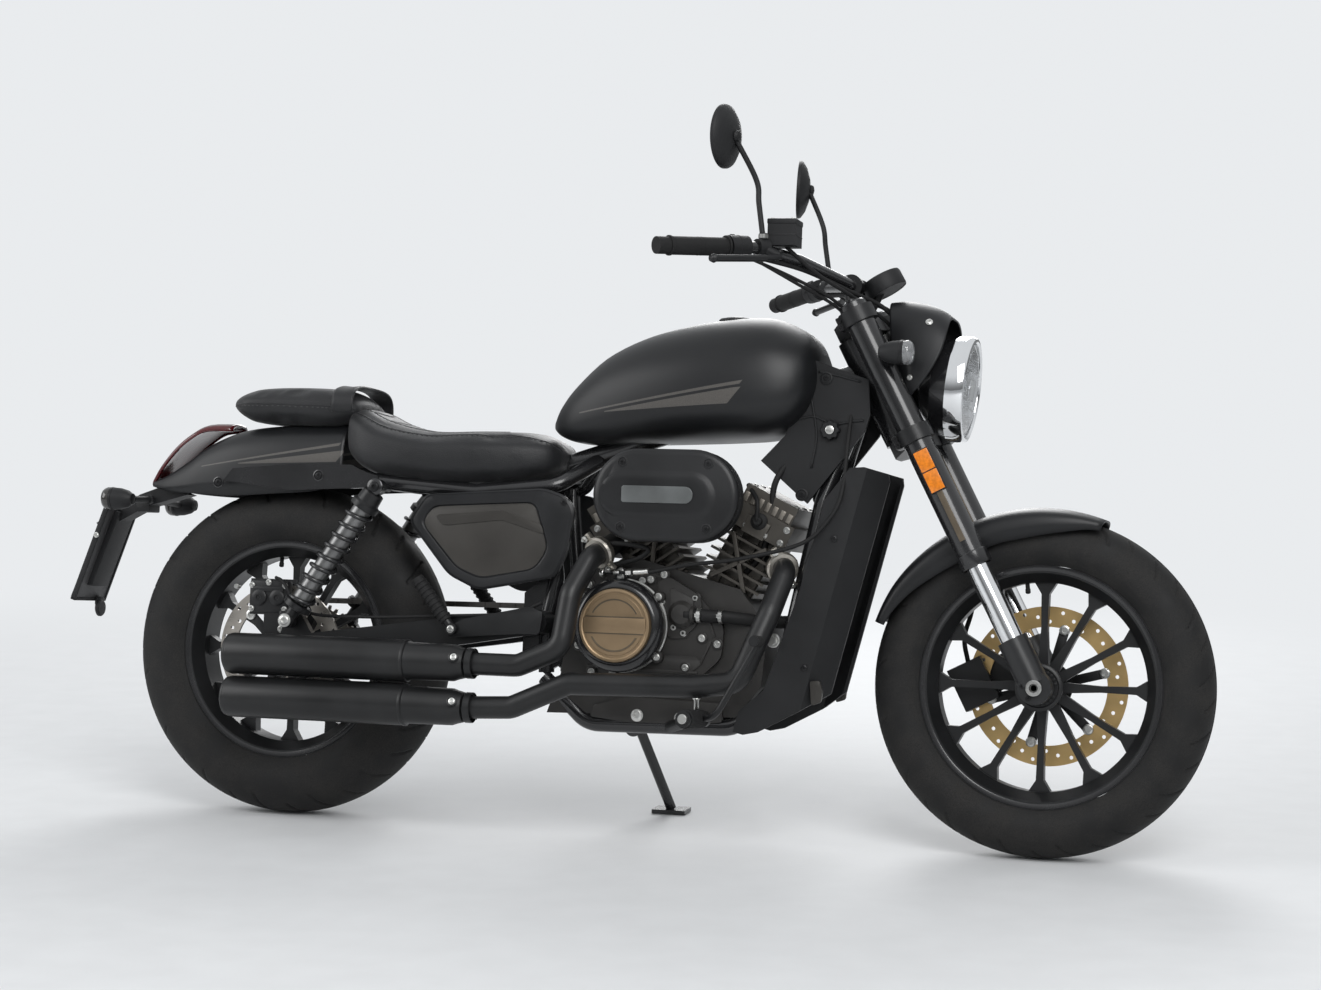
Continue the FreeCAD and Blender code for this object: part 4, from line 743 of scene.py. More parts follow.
RIDER_TABLE = [
    (566, 690, 722, 54), (546, 680, 742, 86), (490, 666, 750, 112), (400, 658, 750, 132),
    (300, 658, 748, 140), (210, 668, 766, 136), (160, 682, 790, 124), (128, 704, 804, 100),
]
PILLION_TABLE = [
    (150, 776, 806, 78), (120, 768, 824, 96), (60, 766, 830, 102), (-30, 770, 830, 102), (-100, 776, 824, 94),
    (-132, 790, 814, 66),
]


def soft_seat(name, node, table, square, lift, cap, shrink):
    """A simulated cover over foam, a little smaller at first so that it swells into place."""
    rings = cushion_rings(table, 26, 44, square, lift)
    middle = sum((sum(ring, Vector()) / len(ring) for ring in rings), Vector()) / len(rings)
    rings = [[middle + (point - middle) * shrink for point in ring] for ring in rings]
    seat = Shape().skin(rings).done(name, "frame", "leather", LEATHER, [node], 0)
    swell(seat, 0.0055, 4.0, cap)
    return seat


rider = soft_seat("rider_cushion", "rider_seat", RIDER_TABLE, 0.56, 3.0, 0.006, 0.985)
pillion = soft_seat("pillion_cushion", "pillion_seat", PILLION_TABLE, 0.62, 4.0, 0.006, 0.98)


def surface_of(thing):
    """A piece's skin, ready for nearest-point questions."""
    return BVHTree.FromObject(thing, bpy.context.evaluated_depsgraph_get())


def nearest(tree, point):
    """The nearest spot of a skin and the way it faces, in the bike's frame."""
    hit, normal = tree.find_nearest(BIKE @ Vector(point))[:2]
    return TO_BIKE @ hit, (TO_BIKE.to_3x3() @ normal).normalized()


def seam(name, tree, routes, radius=1.9, dash=4.2, gap=2.4):
    """A pressed welt with a row of stitches lying on the cover."""
    welt, stitches = Shape(), Shape()
    for route in routes:
        on_cover = []
        for point in smooth_path([Vector(p) for p in route], 8):
            on_cover.append(nearest(tree, point))
        welt.skin(tube_rings([p - n * radius * 0.45 for p, n in on_cover], radius, 8))
        travelled = 0.0
        for (here, n), (there, _) in zip(on_cover, on_cover[1:]):
            step = (there - here).length
            travelled += step
            if travelled > dash + gap and step > 0.1:
                ahead = (there - here).normalized()
                side = n.cross(ahead) * (radius + 2.2)
                start = here + side + n * 0.25
                stitches.rod(start, start + ahead * dash, 0.75, 6)
                travelled = 0.0
    welt.done(name + "_welt", "frame", "leather", LEATHER)
    stitches.done(name + "_stitches", "frame", "leather", THREAD)


def edge_route(table, share_low, share_high, side, height, reach, stations=9):
    """A line along a cushion at a share of its height and half width."""
    route = []
    for i in range(stations):
        x, bottom, top, half = between(table, share_low + (share_high - share_low) * i / (stations - 1))
        route.append((x, side * half * reach, bottom + (top - bottom) * height))
    return route


rider_routes = [edge_route(RIDER_TABLE, 0.05, 0.97, side, 0.98, 0.72) for side in SIDES]
rider_routes += [edge_route(RIDER_TABLE, 0.35, 0.95, side, 1.0, 0.45) for side in SIDES]
for number in range(5):
    x, bottom, top, half = between(RIDER_TABLE, 0.42 + number * 0.1)
    rider_routes.append([(x, -half * 0.42, top), (x + 16, 0, top + 8), (x, half * 0.42, top)])
seam("rider_seam", surface_of(rider), rider_routes)
pillion_routes = [edge_route(PILLION_TABLE, 0.06, 0.94, side, 0.55, 1.0) for side in SIDES]
seam("pillion_seam", surface_of(pillion), pillion_routes)


def strap():
    """Grab strap over the pillion seat with doubled edges."""
    band = Shape()
    rows = []
    for offset in (-22.0, -17.0, 0.0, 17.0, 22.0):
        over = []
        for k in range(25):
            angle = math.pi * k / 24
            y = 106 * power(math.cos(angle), 0.55)
            z = 786 + 52 * power(math.sin(angle), 0.55)
            rise = 3.4 if abs(offset) == 17.0 else 1.6
            over.append(Vector((122 + offset, y * (1 + 0.0006 * rise), z + rise)))
        rows.append(over)
    band.skin(rows, closed=False, caps=False)
    piece = band.done("pillion_strap", "frame", "leather", LEATHER, (), 0)
    thick = piece.modifiers.new("thick", "SOLIDIFY")
    thick.thickness = 0.0028
    thick.offset = 1.0


strap()


# Body panels

# x, bottom, top, half width
TANK_TABLE = [
    (532, 764, 786, 22), (548, 752, 816, 48), (580, 742, 856, 74), (640, 738, 910, 98), (720, 742, 948, 120),
    (810, 746, 971, 138), (890, 750, 983, 146), (960, 756, 984, 143), (1010, 772, 966, 130),
    (1042, 806, 944, 108), (1058, 842, 914, 70),
]
TANK_WAIST = 0.38


def tank_ring(share, count=56):
    """A section across the tank: flatter below its waist, rounder above."""
    x, bottom, top, half = between(TANK_TABLE, share)
    waist = bottom + (top - bottom) * TANK_WAIST
    ring = []
    for k in range(count):
        angle = 2 * math.pi * k / count
        c, s = math.cos(angle), math.sin(angle)
        if s >= 0:
            y, z = half * power(c, 0.86), waist + (top - waist) * power(s, 0.86)
        else:
            y, z = half * power(c, 0.62), waist + (waist - bottom) * power(s, 0.75)
        ring.append(Vector((x, y, z)))
    return ring


tank = Shape().skin([tank_ring(i / 44) for i in range(45)])
tank.done("tank_skin", "frame", "matte_paint", PAINT, ["fuel_tank"], 0)
cap_place = aimed((884, 0, 979), (0.02, 0, 1))
cap_steps = [(36, -6), (37, 2), (34, 5), (31, 5.5), (30, 3.5), (27, 3.5), (25, 7), (12, 8.5), (0.1, 8.5)]
cap = Shape().lathe(cap_steps, cap_place, 48, caps=True)
cap.done("tank_cap", "frame", "black_cast", CAST, ["fuel_cap"])
Shape().box((-9, -2.2, 8.2), (9, 2.2, 10.2), cap_place, 0.8).done(
    "cap_keyway", "frame", "bright_steel", STEEL
)


def guard(angle_low, angle_high, centre, stations, section):
    """Rings of an open mudguard section about a wheel; section gives (radius, y) for a share."""
    rings = []
    for i in range(stations + 1):
        share = i / stations
        angle = math.radians(angle_low + (angle_high - angle_low) * share)
        rings.append(
            [centre + Vector((r * math.cos(angle), y, r * math.sin(angle))) for r, y in section(share)]
        )
    return rings


# share from the tail, side's inner radius, crown radius, half width
FENDER_TABLE = [
    (0.0, 306, 329, 66), (0.12, 292, 331, 71), (0.3, 276, 330, 74), (0.45, 268, 329, 75),
    (0.62, 270, 328, 75), (0.8, 272, 328, 74), (0.93, 284, 327, 70), (1.0, 304, 326, 60),
]


def fender_section(share):
    """Points (radius, y) across the front guard at a share of its length."""
    _, inner, crown, half = between(FENDER_TABLE, share)
    points = []
    for k in range(29):
        angle = math.pi * k / 28
        points.append(
            (inner + (crown - inner) * power(math.sin(angle), 0.42), half * power(math.cos(angle), 0.8))
        )
    return points


def thicken(thing, thickness, offset=-1.0):
    """Gives a skin its sheet thickness, in metres."""
    solid = thing.modifiers.new("thickness", "SOLIDIFY")
    solid.thickness = thickness
    solid.offset = offset
    return thing


front_guard = Shape().skin(guard(160.5, 70.5, FRONT_AXLE, 44, fender_section), closed=False, caps=False)
thicken(front_guard.done("front_guard", "fork", "matte_paint", PLAIN_PAINT, ["front_fender"], 50), 0.003)

# x, side's lower edge, top, half width
TAIL_TABLE = [
    (-306, 636, 650, 44), (-270, 628, 664, 62), (-225, 624, 692, 76), (-180, 622, 724, 84),
    (-110, 620, 752, 92), (-20, 626, 764, 97), (60, 632, 766, 98), (124, 646, 768, 98),
]


def tail_ring(share, count=33):
    """An open section over the tail at a share of its length."""
    x, low, top, half = between(TAIL_TABLE, share)
    ring = []
    for k in range(count):
        angle = math.pi * k / (count - 1)
        ring.append(
            Vector((x, half * power(math.cos(angle), 0.5), low + (top - low) * power(math.sin(angle), 0.62)))
        )
    return ring


tail = Shape().skin([tail_ring(i / 34) for i in range(35)], closed=False, caps=False)
thicken(tail.done("tail_body", "frame", "matte_paint", TAIL_PAINT, ["rear_fender"], 50), 0.003)


def tail_light():
    """Dark red lamp that follows the tail's crown."""
    rows = []
    ridge = [
        (-309, 655, 40), (-288, 684, 50), (-256, 720, 56), (-224, 746, 57), (-190, 764, 52), (-140, 766, 34)
    ]
    for i in range(21):
        x, top, half = between(ridge, i / 20)
        row = []
        for k in range(17):
            angle = math.pi * k / 16
            row.append(
                Vector((x, half * power(math.cos(angle), 0.7), top - 16 + 16 * power(math.sin(angle), 0.7)))
            )
        rows.append(row)
    lamp = Shape().skin(rows, closed=False, caps=False).done(
        "tail_lens", "frame", "red_lens", RED, ["tail_lamp"], 0
    )
    thicken(lamp, 0.006)


tail_light()


def cowl():
    """Visor over the headlight: its front edge slants back to a point on each side."""
    # share from the front, lower x, lower z, upper x, upper z, half width
    table = [
        (0.0, 1236, 828, 1302, 986, 109), (0.25, 1228, 834, 1282, 1001, 108),
        (0.5, 1220, 841, 1252, 1012, 104), (0.8, 1211, 852, 1212, 1018, 92), (1.0, 1206, 862, 1184, 1016, 82),
    ]
    rows = []
    for i in range(19):
        _, low_x, low_z, top_x, top_z, half = between(table, i / 18)
        row = []
        for k in range(37):
            angle = math.pi * k / 36
            rise = power(math.sin(angle), 0.72)
            bulge = 20 * math.sin(math.pi * min(1.0, rise)) * (1 - i / 18)
            x = low_x + (top_x - low_x) * rise + bulge
            y = half * power(math.cos(angle), 0.66)
            row.append(Vector((x, y, low_z + (top_z - low_z) * rise)))
        rows.append(row)
    hood = Shape().skin(rows, closed=False, caps=False)
    return thicken(
        hood.done("headlight_visor", "fork", "grey_paint", PLAIN_PAINT, ["headlight_cowl"], 50), 0.003
    )


visor = cowl()

# Front end


def fork_details():
    """Inlays, reflectors, lugs, screws and axle rings of the fork legs."""
    inlays, lenses, screws, lugs = Shape(), Shape(), Shape(), Shape()
    along = (FORK.to_3x3() @ UP).normalized()
    for side in SIDES:
        y = side * FORK_SPREAD
        for facing in SIDES:
            inlays.box((-5.6, y + facing * 26.0, 293), (5.6, y + facing * 27.5, 477), FORK, 0.4)
        for start in (394, 435):
            lenses.box((-13.6, side * 134.4, start), (13.6, side * 136.2, start + 39), FORK, 1.0)
        screws.bolt(in_fork(0, y, 783), along, 9.0, 4.0)
        for height in (494, 738):
            lugs.box((-39, y - 15, height + 1), (-24, y + 15, height + 27), FORK, 2.0)
            for rise in (8, 20):
                screws.bolt(in_fork(-33, y + side * 15, height + rise), LEFT * side, 4.6, 4.0)
        for rise in (-12, 12):
            screws.bolt(in_fork(-22 + abs(rise) * 0.4, y + side * 19, rise), LEFT * side, 4.4, 4.0)
    inlays.done("fork_inlays", "fork", "alloy", BRONZE_DARK)
    lenses.done("fork_reflectors", "fork", "red_lens", AMBER)
    lugs.done("clamp_lugs", "fork", "frame_paint", CAST)
    screws.done("fork_screws", "fork", "bright_steel", BLACK_STEEL)
    ends = Shape()
    for side in SIDES:
        place = aimed(in_fork(0, side * 128, 0), LEFT * side)
        ends.lathe(
            [(6.2, 0), (13, 0), (14.5, 1), (14.5, 5), (13, 6.5), (8, 6.5), (6.4, 4), (6.2, 0)], place, 32
        )
    ends.done("axle_rings", "fork", "bright_steel", STEEL)


fork_details()

LAMP = aimed((1308, 0, 857), (math.cos(math.radians(5.7)), 0, -math.sin(math.radians(5.7))))


def lamp_details():
    """Headlight: chrome ring and bowl, glass and the bars behind it."""
    ring = [
        (86.5, 19), (87.5, 25), (91, 28.5), (96, 27), (99, 21), (99.2, 8), (98, -6), (95.4, -7), (88.5, 2),
        (86.5, 19),
    ]
    Shape().lathe(ring, LAMP, 72).done("lamp_ring", "fork", "bright_steel", CHROME)
    bowl = [(86, 17), (76, 11), (62, 7.4), (46, 5.4), (30, 4.9), (21, 4.9), (21, 9), (17, 11), (0.1, 11.4)]
    Shape().lathe(bowl, LAMP, 72).done("lamp_bowl", "fork", "bright_steel", CHROME)
    glass = [(86.2, 19.5), (84, 23), (72, 26.5), (50, 30), (25, 32), (0.1, 32.6)]
    dome = Shape().lathe(glass, LAMP, 72)
    dome.done("lamp_glass", "fork", "clear_lens", CLEAR, ["headlight_lens"], 0)
    bars = Shape()
    for i in range(9):
        x = -64 + i * 16
        half = math.sqrt(max(0.0, 76 ** 2 - x ** 2))
        bars.box((x - 0.8, -half, 13), (x + 0.8, half, 14.4), LAMP, 0.3)
    bars.box((-18, -22, 12), (18, 22, 17), LAMP, 3.0)
    bars.done("lamp_bars", "fork", "bright_steel", STEEL)


lamp_details()


def visor_screws():
    """Screws on the visor's skin, turned to face out of it."""
    screws = Shape()
    skin = surface_of(visor)
    for side in SIDES:
        for x, y, z in ((1268, 92, 978), (1238, 108, 868), (1226, 106, 846)):
            spot, facing = nearest(skin, (x, side * y, z))
            if facing.y * side < 0:
                facing = -facing
            screws.bolt(spot + facing * 0.4, facing, 5.4 if z > 900 else 4.4, 3.2)
    screws.done("visor_screws", "fork", "bright_steel", STEEL)


visor_screws()


def blinker_lens(name, body, middle, aim, material):
    """Domed lens of an indicator."""
    place = aimed(middle, aim)
    glass = [(21.8, 14), (22.4, 16), (22.4, 22.4), (21, 26), (18.4, 29.6), (12, 32.2), (0.1, 33.6)]
    Shape().lathe(glass, place, 40).done(name, body, "clear_lens", material)


def blinker_trim(name, body, middle, aim):
    """Rings round an indicator's lens and its tail."""
    place = aimed(middle, aim)
    rings = Shape().lathe([(21.6, 8), (22.9, 9), (22.9, 13.4), (21.6, 14.4)], place, 40)
    rings.lathe([(9.5, -32), (11, -31.4), (11.5, -29), (9, -28)], place, 24)
    rings.done(name, body, "bright_steel", BLACK_STEEL)


# end, body, middle of the left one, the way it faces, where its stalk starts, lens
BLINKERS = [
    ("front", "fork", (1223, 165, 908), AHEAD, (1222, 112, 905), CLEAR),
    ("rear", "frame", (-331, 139, 606), -AHEAD, (-318, 22, 610), SMOKE),
]
for side, hand in HANDS:
    for end, body, (x, y, z), aim, _, material in BLINKERS:
        blinker_lens(end + "_blinker_lens_" + hand, body, (x, side * y, z), aim, material)
        blinker_trim(end + "_blinker_trim_" + hand, body, (x, side * y, z), aim)


def on_bar(side, share, out=(0, 0, 0)):
    """A point along one grip, from its inner end at 0 to its outer end at 1."""
    inner, outer = Vector((985, 292, 1081)), Vector((862, 430, 1066))
    point = inner + (outer - inner) * share
    return Vector((point.x, side * point.y, point.z)) + Vector(out)


def mirror_face(side):
    """The middle of a mirror and the way its glass faces."""
    return Vector((930, side * 300, 1281)), Vector((-1, -side * 0.18, 0.03)).normalized()


def bar_details():
    """What sits on the handlebar: mirror glasses, rings, levers, switches and reservoir."""
    glass, rims, rubber, plastic = Shape(), Shape(), Shape(), Shape()
    steel, levers, red = Shape(), Shape(), Shape()
    for side in SIDES:
        head = aimed(*mirror_face(side))
        glass.lathe([(53.4, 6.3), (52.6, 7.0), (0.1, 7.3)], head, 56)
        rims.lathe([(57, 3), (57.8, 4.5), (57.8, 8.2), (56, 9.2), (53.6, 9.6), (53.6, 6.4)], head, 56)
        rims.lathe([(0.1, -24), (9, -22), (11, -17), (9, -12)], head, 24)
        foot = on_bar(side, -0.08, (2, 0, 14))
        steel.lathe([(9.2, 0), (9.2, 7), (6, 8)], aimed(foot + Vector((0, 0, 3)), UP), 6, caps=True)
        line = on_bar(side, 1.0) - on_bar(side, 0.0)
        for share, size, thick in ((0.325, 20.5, 4), (0.97, 18.2, 5), (0.62, 16.9, 2), (0.66, 16.9, 2)):
            place = aimed(on_bar(side, share), line)
            rubber.lathe(
                [(12, 0), (size - 1, 0), (size, 1), (size, thick - 1), (size - 1, thick), (12, thick)], place,
                32,
            )
        tip = on_bar(side, 0.86, (62, 0, -22))
        elbow = on_bar(side, 0.25, (58, 0, -20))
        levers.tube([elbow + (elbow - tip) * 0.02, (elbow + tip) / 2, tip], 6.6, 12)
        levers.lathe([(0.1, -9), (6, -7), (8.6, 0), (6, 7), (0.1, 9)], aimed(tip, tip - elbow), 20)
        housing = aimed(on_bar(side, 0.2), line, (-1, 0, 0.5))
        for start, across in ((-8, 0), (8, 0.5), (8, -0.6)):
            turned = housing @ Matrix.Rotation(across, 4, "Z")
            plastic.box((19, -4.5, start - 5), (23.5, 4.5, start + 5), turned, 1.2)
        plastic.lathe([(20.6, -1), (21.6, 0), (21.6, 2), (20.6, 3)], aimed(on_bar(side, 0.2), line), 32)
        levers.bolt(on_bar(side, -0.08, (34, 0, -8)), UP, 5.0, 4.0)
        steel.bolt(on_bar(side, -0.08, (-15, 0, 4)), (-1, 0, 0.3), 4.0, 3.0)
    red.box((-6, -5, 0), (6, 5, 4.5), aimed(on_bar(-1, 0.14, (-17, 0, 13)), (-0.8, 0, 0.6)), 1.2)
    lid_low, lid_high = Vector((1000.4, -272.9, 1127)), Vector((1055.2, -218.1, 1137))
    plastic.box(lid_low, lid_high, None, 2.5)
    plastic.box((1001.2, -272.0, 1106), (1054.4, -219.0, 1109), None, 0.8)
    for x, y in ((1009, -264), (1046, -264), (1009, -227), (1046, -227)):
        steel.bolt((x, y, 1136.6), UP, 3.6, 2.4)
    steel.lathe(
        [(8.5, 0), (8.5, 1.8), (6.5, 2.2), (6.5, 1.0), (0.1, 1.0)], aimed((1001.6, -245, 1112), -AHEAD), 24
    )
    glass.done("mirror_glasses", "fork", "bright_steel", MIRROR)
    rims.done("mirror_rims", "fork", "black_plastic", PLASTIC)
    rubber.done("grip_rings", "fork", "rubber", RUBBER)
    plastic.done("bar_switches", "fork", "black_plastic", PLASTIC)
    steel.done("bar_fasteners", "fork", "bright_steel", STEEL)
    levers.done("bar_levers", "fork", "black_cast", CAST)
    red.done("bar_stop_switch", "fork", "red_lens", SWITCH_RED)


bar_details()


def gauge_details():
    """Rim, glass and marks of the round gauge."""
    place = aimed((1164, 0, 1050), (-0.5, 0, 0.866))
    rim = [(38.4, -15), (39.4, -12), (39.4, 12), (38, 16.5), (35.4, 17), (34.4, 14.4)]
    Shape().lathe(rim, place, 56).done("gauge_rim", "fork", "black_plastic", PLASTIC)
    Shape().lathe([(34.6, 16), (20, 17.2), (0.1, 17.6)], place, 56).done(
        "gauge_glass", "fork", "clear_lens", SMOKE
    )
    marks = Shape()
    for i in range(25):
        turned = place @ Matrix.Rotation(math.radians(-150 + i * 12.5), 4, "Z")
        marks.box((26 if i % 4 else 23, -0.5, 14.1), (31, 0.5, 14.8), turned)
    marks.done("gauge_marks", "fork", "bright_steel", BADGE)


gauge_details()

# Cables and hoses: name, body, radius, points. One whose name ends in right has its mirror image on the left.
LINES = [
    (
        "brake_line_upper", "fork", 3.6,
        [
            (1030, -238, 1089), (1078, -176, 1046), (1132, -100, 1012), (1190, -30, 964), (1226, 40, 880),
            (1240, 66, 796), (1237, 70, 736),
        ],
    ),
    (
        "throttle_cable_a", "fork", 3.2,
        [(975, -300, 1062), (1040, -214, 1036), (1100, -130, 1004), (1142, -58, 952), (1148, -24, 896)],
    ),
    (
        "throttle_cable_b", "fork", 3.2,
        [(985, -290, 1060), (1046, -206, 1026), (1104, -120, 992), (1144, -50, 938), (1146, -18, 890)],
    ),
    (
        "switch_loom_right", "fork", 4.4,
        [(990, -284, 1064), (1052, -186, 1054), (1112, -88, 1030), (1176, -34, 1000), (1236, -20, 926)],
    ),
    (
        "clutch_cable_upper", "fork", 3.4,
        [(1014, 262, 1068), (1070, 180, 1030), (1128, 92, 990), (1148, 40, 936), (1146, 20, 892)],
    ),
    (
        "indicator_wire_right", "fork", 2.6,
        [(1222, -140, 905), (1228, -122, 930), (1240, -70, 936), (1250, -40, 924)],
    ),
    (
        "clutch_cable_lower", "frame", 3.8,
        [
            (1122, -42, 852), (1124, -86, 760), (1120, -115, 650), (1094, -124, 596), (1049, -136, 556),
            (941, -150, 526), (848, -158, 512), (780, -152, 498), (752, -146, 494),
        ],
    ),
    ("clutch_cable_end", "frame", 2.4, [(752, -146, 494), (712, -138, 493), (672, -126, 492)]),
    (
        "vent_hose", "frame", 4.6,
        [(650, -118, 540), (700, -134, 548), (760, -140, 540), (742, -128, 522), (690, -120, 508)],
    ),
    (
        "loom_front", "frame", 6.0,
        [(1010, -60, 720), (985, -78, 668), (978, -70, 600), (962, -66, 540), (930, -60, 500)],
    ),
    (
        "rear_brake_line", "frame", 3.2,
        [
            (-6, -96, 462), (18, -112, 452), (70, -121, 398), (200, -139, 392), (360, -140, 400),
            (500, -137, 410), (556, -132, 432),
        ],
    ),
    ("stand_switch_wire", "frame", 2.6, [(690, 112, 214), (700, 108, 250), (706, 100, 300), (690, 96, 330)]),
]
for name, body, radius, points in LINES:
    Shape().tube(points, radius, 10, 8).done(name, body, "rubber", RUBBER, (), 0)
    if name.endswith("right"):
        mirrored = [(x, -y, z) for x, y, z in points]
        name = name.replace("right", "left")
        Shape().tube(mirrored, radius, 10, 8).done(name, body, "rubber", RUBBER, (), 0)


def cable_fittings():
    """Turned ends and the adjuster of the clutch cable."""
    fittings = Shape()
    fittings.rod((768, -150, 497), (738, -144, 494), 5.6, 16)
    fittings.rod((734, -143, 493.6), (722, -140, 493.2), 7.4, 6)
    fittings.rod((708, -137, 493), (696, -134, 492.6), 5.0, 16)
    fittings.rod((676, -127, 492), (668, -124, 491.6), 8.0, 16)
    fittings.done("cable_fittings", "frame", "bright_steel", STEEL)


cable_fittings()

# Engine


def bank(lean_degrees):
    """The place of a cylinder that leans forward by so many degrees about the crank."""
    return Matrix.Translation(CRANK) @ Matrix.Rotation(math.radians(lean_degrees), 4, "Y")


FRONT_BANK, REAR_BANK = bank(26.5), bank(-34.0)
# bank, height of the head's foot, height of its top
BANKS = [("front", FRONT_BANK, 226, 306), ("rear", REAR_BANK, 226, 326)]


def cylinder_details():
    """Head ridges, barrel panels, screws, plug caps and leads of both cylinders."""
    screws, caps, leads, panels, ridges = Shape(), Shape(), Shape(), Shape(), Shape()
    for name, place, foot, top in BANKS:
        turn = place.to_3x3()
        for side in SIDES:
            out = LEFT * side
            for x, z in (
                (-54, foot + 9), (54, foot + 9), (-54, top - 44), (54, top - 44), (-20, foot + 8),
                (20, foot + 8),
            ):
                screws.bolt(place @ Vector((x, side * 88, z)), out, 5.2, 4.4)
            for i in range(7):
                x = -46 + i * 15.4
                ridges.box((x - 4.6, side * 80, top - 33), (x + 4.6, side * 82.4, top - 15), place, 1.2)
            for x in (-34, 0, 34):
                panels.box((x - 12, side * 55.5, 104), (x + 12, side * 62, 222), place, 2.0)
            caps.lathe(
                [(16, -1), (16, 5), (13, 8), (8.4, 9), (8.4, 22), (6, 24)],
                aimed(place @ Vector((0, side * 88, foot + 26)), out), 24, caps=True,
            )
        for x in (-40, 40):
            for y in (-60, 0, 60):
                screws.bolt(place @ Vector((x * 1.12, y, top - 0.6)), turn @ UP, 5.4, 3.0)
        for side in SIDES:
            start = place @ Vector((0, side * 110, foot + 26))
            middle = place @ Vector((-18 if name == "front" else 18, side * 108, foot + 60))
            end = place @ Vector((-58 if name == "front" else 58, side * 60, top - 6))
            leads.tube([start, middle, end], 4.2, 10, 8)
    screws.done("head_screws", "frame", "bright_steel", STEEL)
    ridges.done("head_ridges", "frame", "alloy", HEADS_BRIGHT)
    panels.done("barrel_panels", "frame", "alloy", HEADS)
    caps.done("plug_caps", "frame", "rubber", RUBBER)
    leads.done("plug_leads", "frame", "rubber", RUBBER, (), 0)


cylinder_details()


def header_collars():
    """Flanges with two studs each, where the headers meet the heads."""
    collars, studs = Shape(), Shape()
    for spot, aim in (((664, -126, 530), (-35, -90, -40)), ((1008, -92, 512), (45, -72, -16))):
        place = aimed(spot, aim)
        collars.lathe([(21.3, -9), (28, -9), (31, -5), (31, 5), (28, 9), (21.3, 9)], place, 40)
        for turn in (0.6, 0.6 + math.pi):
            across = place @ Matrix.Rotation(turn, 4, "Z")
            collars.box((26, -9, -5), (43, 9, 5), across, 2.0)
            studs.lathe(
                [(6.2, 5), (6.2, 12), (3, 12.6), (3, 18)], across @ Matrix.Translation((36, 0, 0)), 12,
                caps=True,
            )
    collars.done("header_collars", "frame", "alloy", ALLOY)
    studs.done("header_studs", "frame", "bright_steel", STEEL)


header_collars()

CASE_SCREWS = [
    (744, 480), (760, 483), (786, 493), (785, 442), (848, 451), (808, 395), (827, 385), (863, 377),
    (893, 367), (833, 321), (650, 306), (640, 470), (700, 497),
]
# x and z of each rib's two ends
CASE_RIBS = [(862, 330, 880, 372), (640, 316, 856, 312), (740, 500, 800, 480), (872, 420, 886, 380)]
PUMP_OUTLINE = [
    (772, 478), (796, 490), (856, 456), (862, 436), (850, 396), (822, 374), (796, 376), (784, 412)
]


def case_details():
    """Screws, ribs, coolant pump and bright parts on the right of the crankcase."""
    screws, bosses, pump, bands, dark = Shape(), Shape(), Shape(), Shape(), Shape()
    right = -LEFT
    for x, z in CASE_SCREWS:
        bosses.lathe([(10.5, 0), (10.5, 3), (8.5, 4.4), (0.1, 4.4)], aimed((x, -103.6, z), right), 20)
        screws.bolt((x, -107.6, z), right, 5.4, 4.4)
    pump.plate(PUMP_OUTLINE, -109.5, -103.5, 1.6, None, 9.0)
    pump.plate([(800, 470), (846, 450), (842, 404), (812, 392), (800, 420)], -111.5, -109.0, 1.2, None, 7.0)
    pump.lathe([(25.4, 0), (25.4, 8.5), (18, 16.4), (0.1, 18.6)], aimed((824, -106, 420), right), 36)
    pump.lathe([(13.4, 0), (16, 1), (16, 7), (13.4, 8)], aimed((842, -113, 419.6), AHEAD), 28)
    for x, z, far_x, far_z in CASE_RIBS:
        direction = Vector((far_x - x, 0, far_z - z))
        bosses.box((-2.6, -2.2, 0), (2.6, 2.2, direction.length), aimed((x, -104.6, z), direction, LEFT), 1.0)
    for x in (858, 900):
        bands.lathe([(12.2, -4), (13.6, -3.4), (13.6, 3.4), (12.2, 4)], aimed((x, -113, 419), AHEAD), 28)
        bands.box((-3.4, -3.4, -5), (3.4, 3.4, 5), aimed((x, -127.4, 419), AHEAD), 0.8)
    for x, z in ((741, 228), (825, 226)):
        bands.bolt((x, -100, z), right, 9.5, 5.0)
    bands.rod((886, -214, 268), (882, -196, 232), 5.4, 16)
    bands.rod((886, -215, 272), (885.6, -213.4, 268), 8.0, 16)
    bands.rod((1001, -118, 378), (1001, -104, 378), 13.0, 24)
    bands.rod((1001, -126, 378), (1001, -117, 378), 8.6, 6)
    dark.plate(
        [(660, 326), (676, 312), (838, 308), (866, 330), (850, 344), (700, 340)], -105.6, -103.6, 0.8, None,
        5.0,
    )
    screws.done("case_screws", "frame", "bright_steel", STEEL)
    bosses.done("case_bosses", "frame", "engine_paint", ENGINE)
    pump.done("pump_cover", "frame", "engine_paint", ENGINE)
    bands.done("engine_bright_parts", "frame", "bright_steel", STEEL)
    dark.done("case_lower_panel", "frame", "engine_paint", ENGINE)


case_details()

CLUTCH_AXLE = Vector((709, -92, 395))
CLUTCH = aimed(CLUTCH_AXLE, -LEFT)


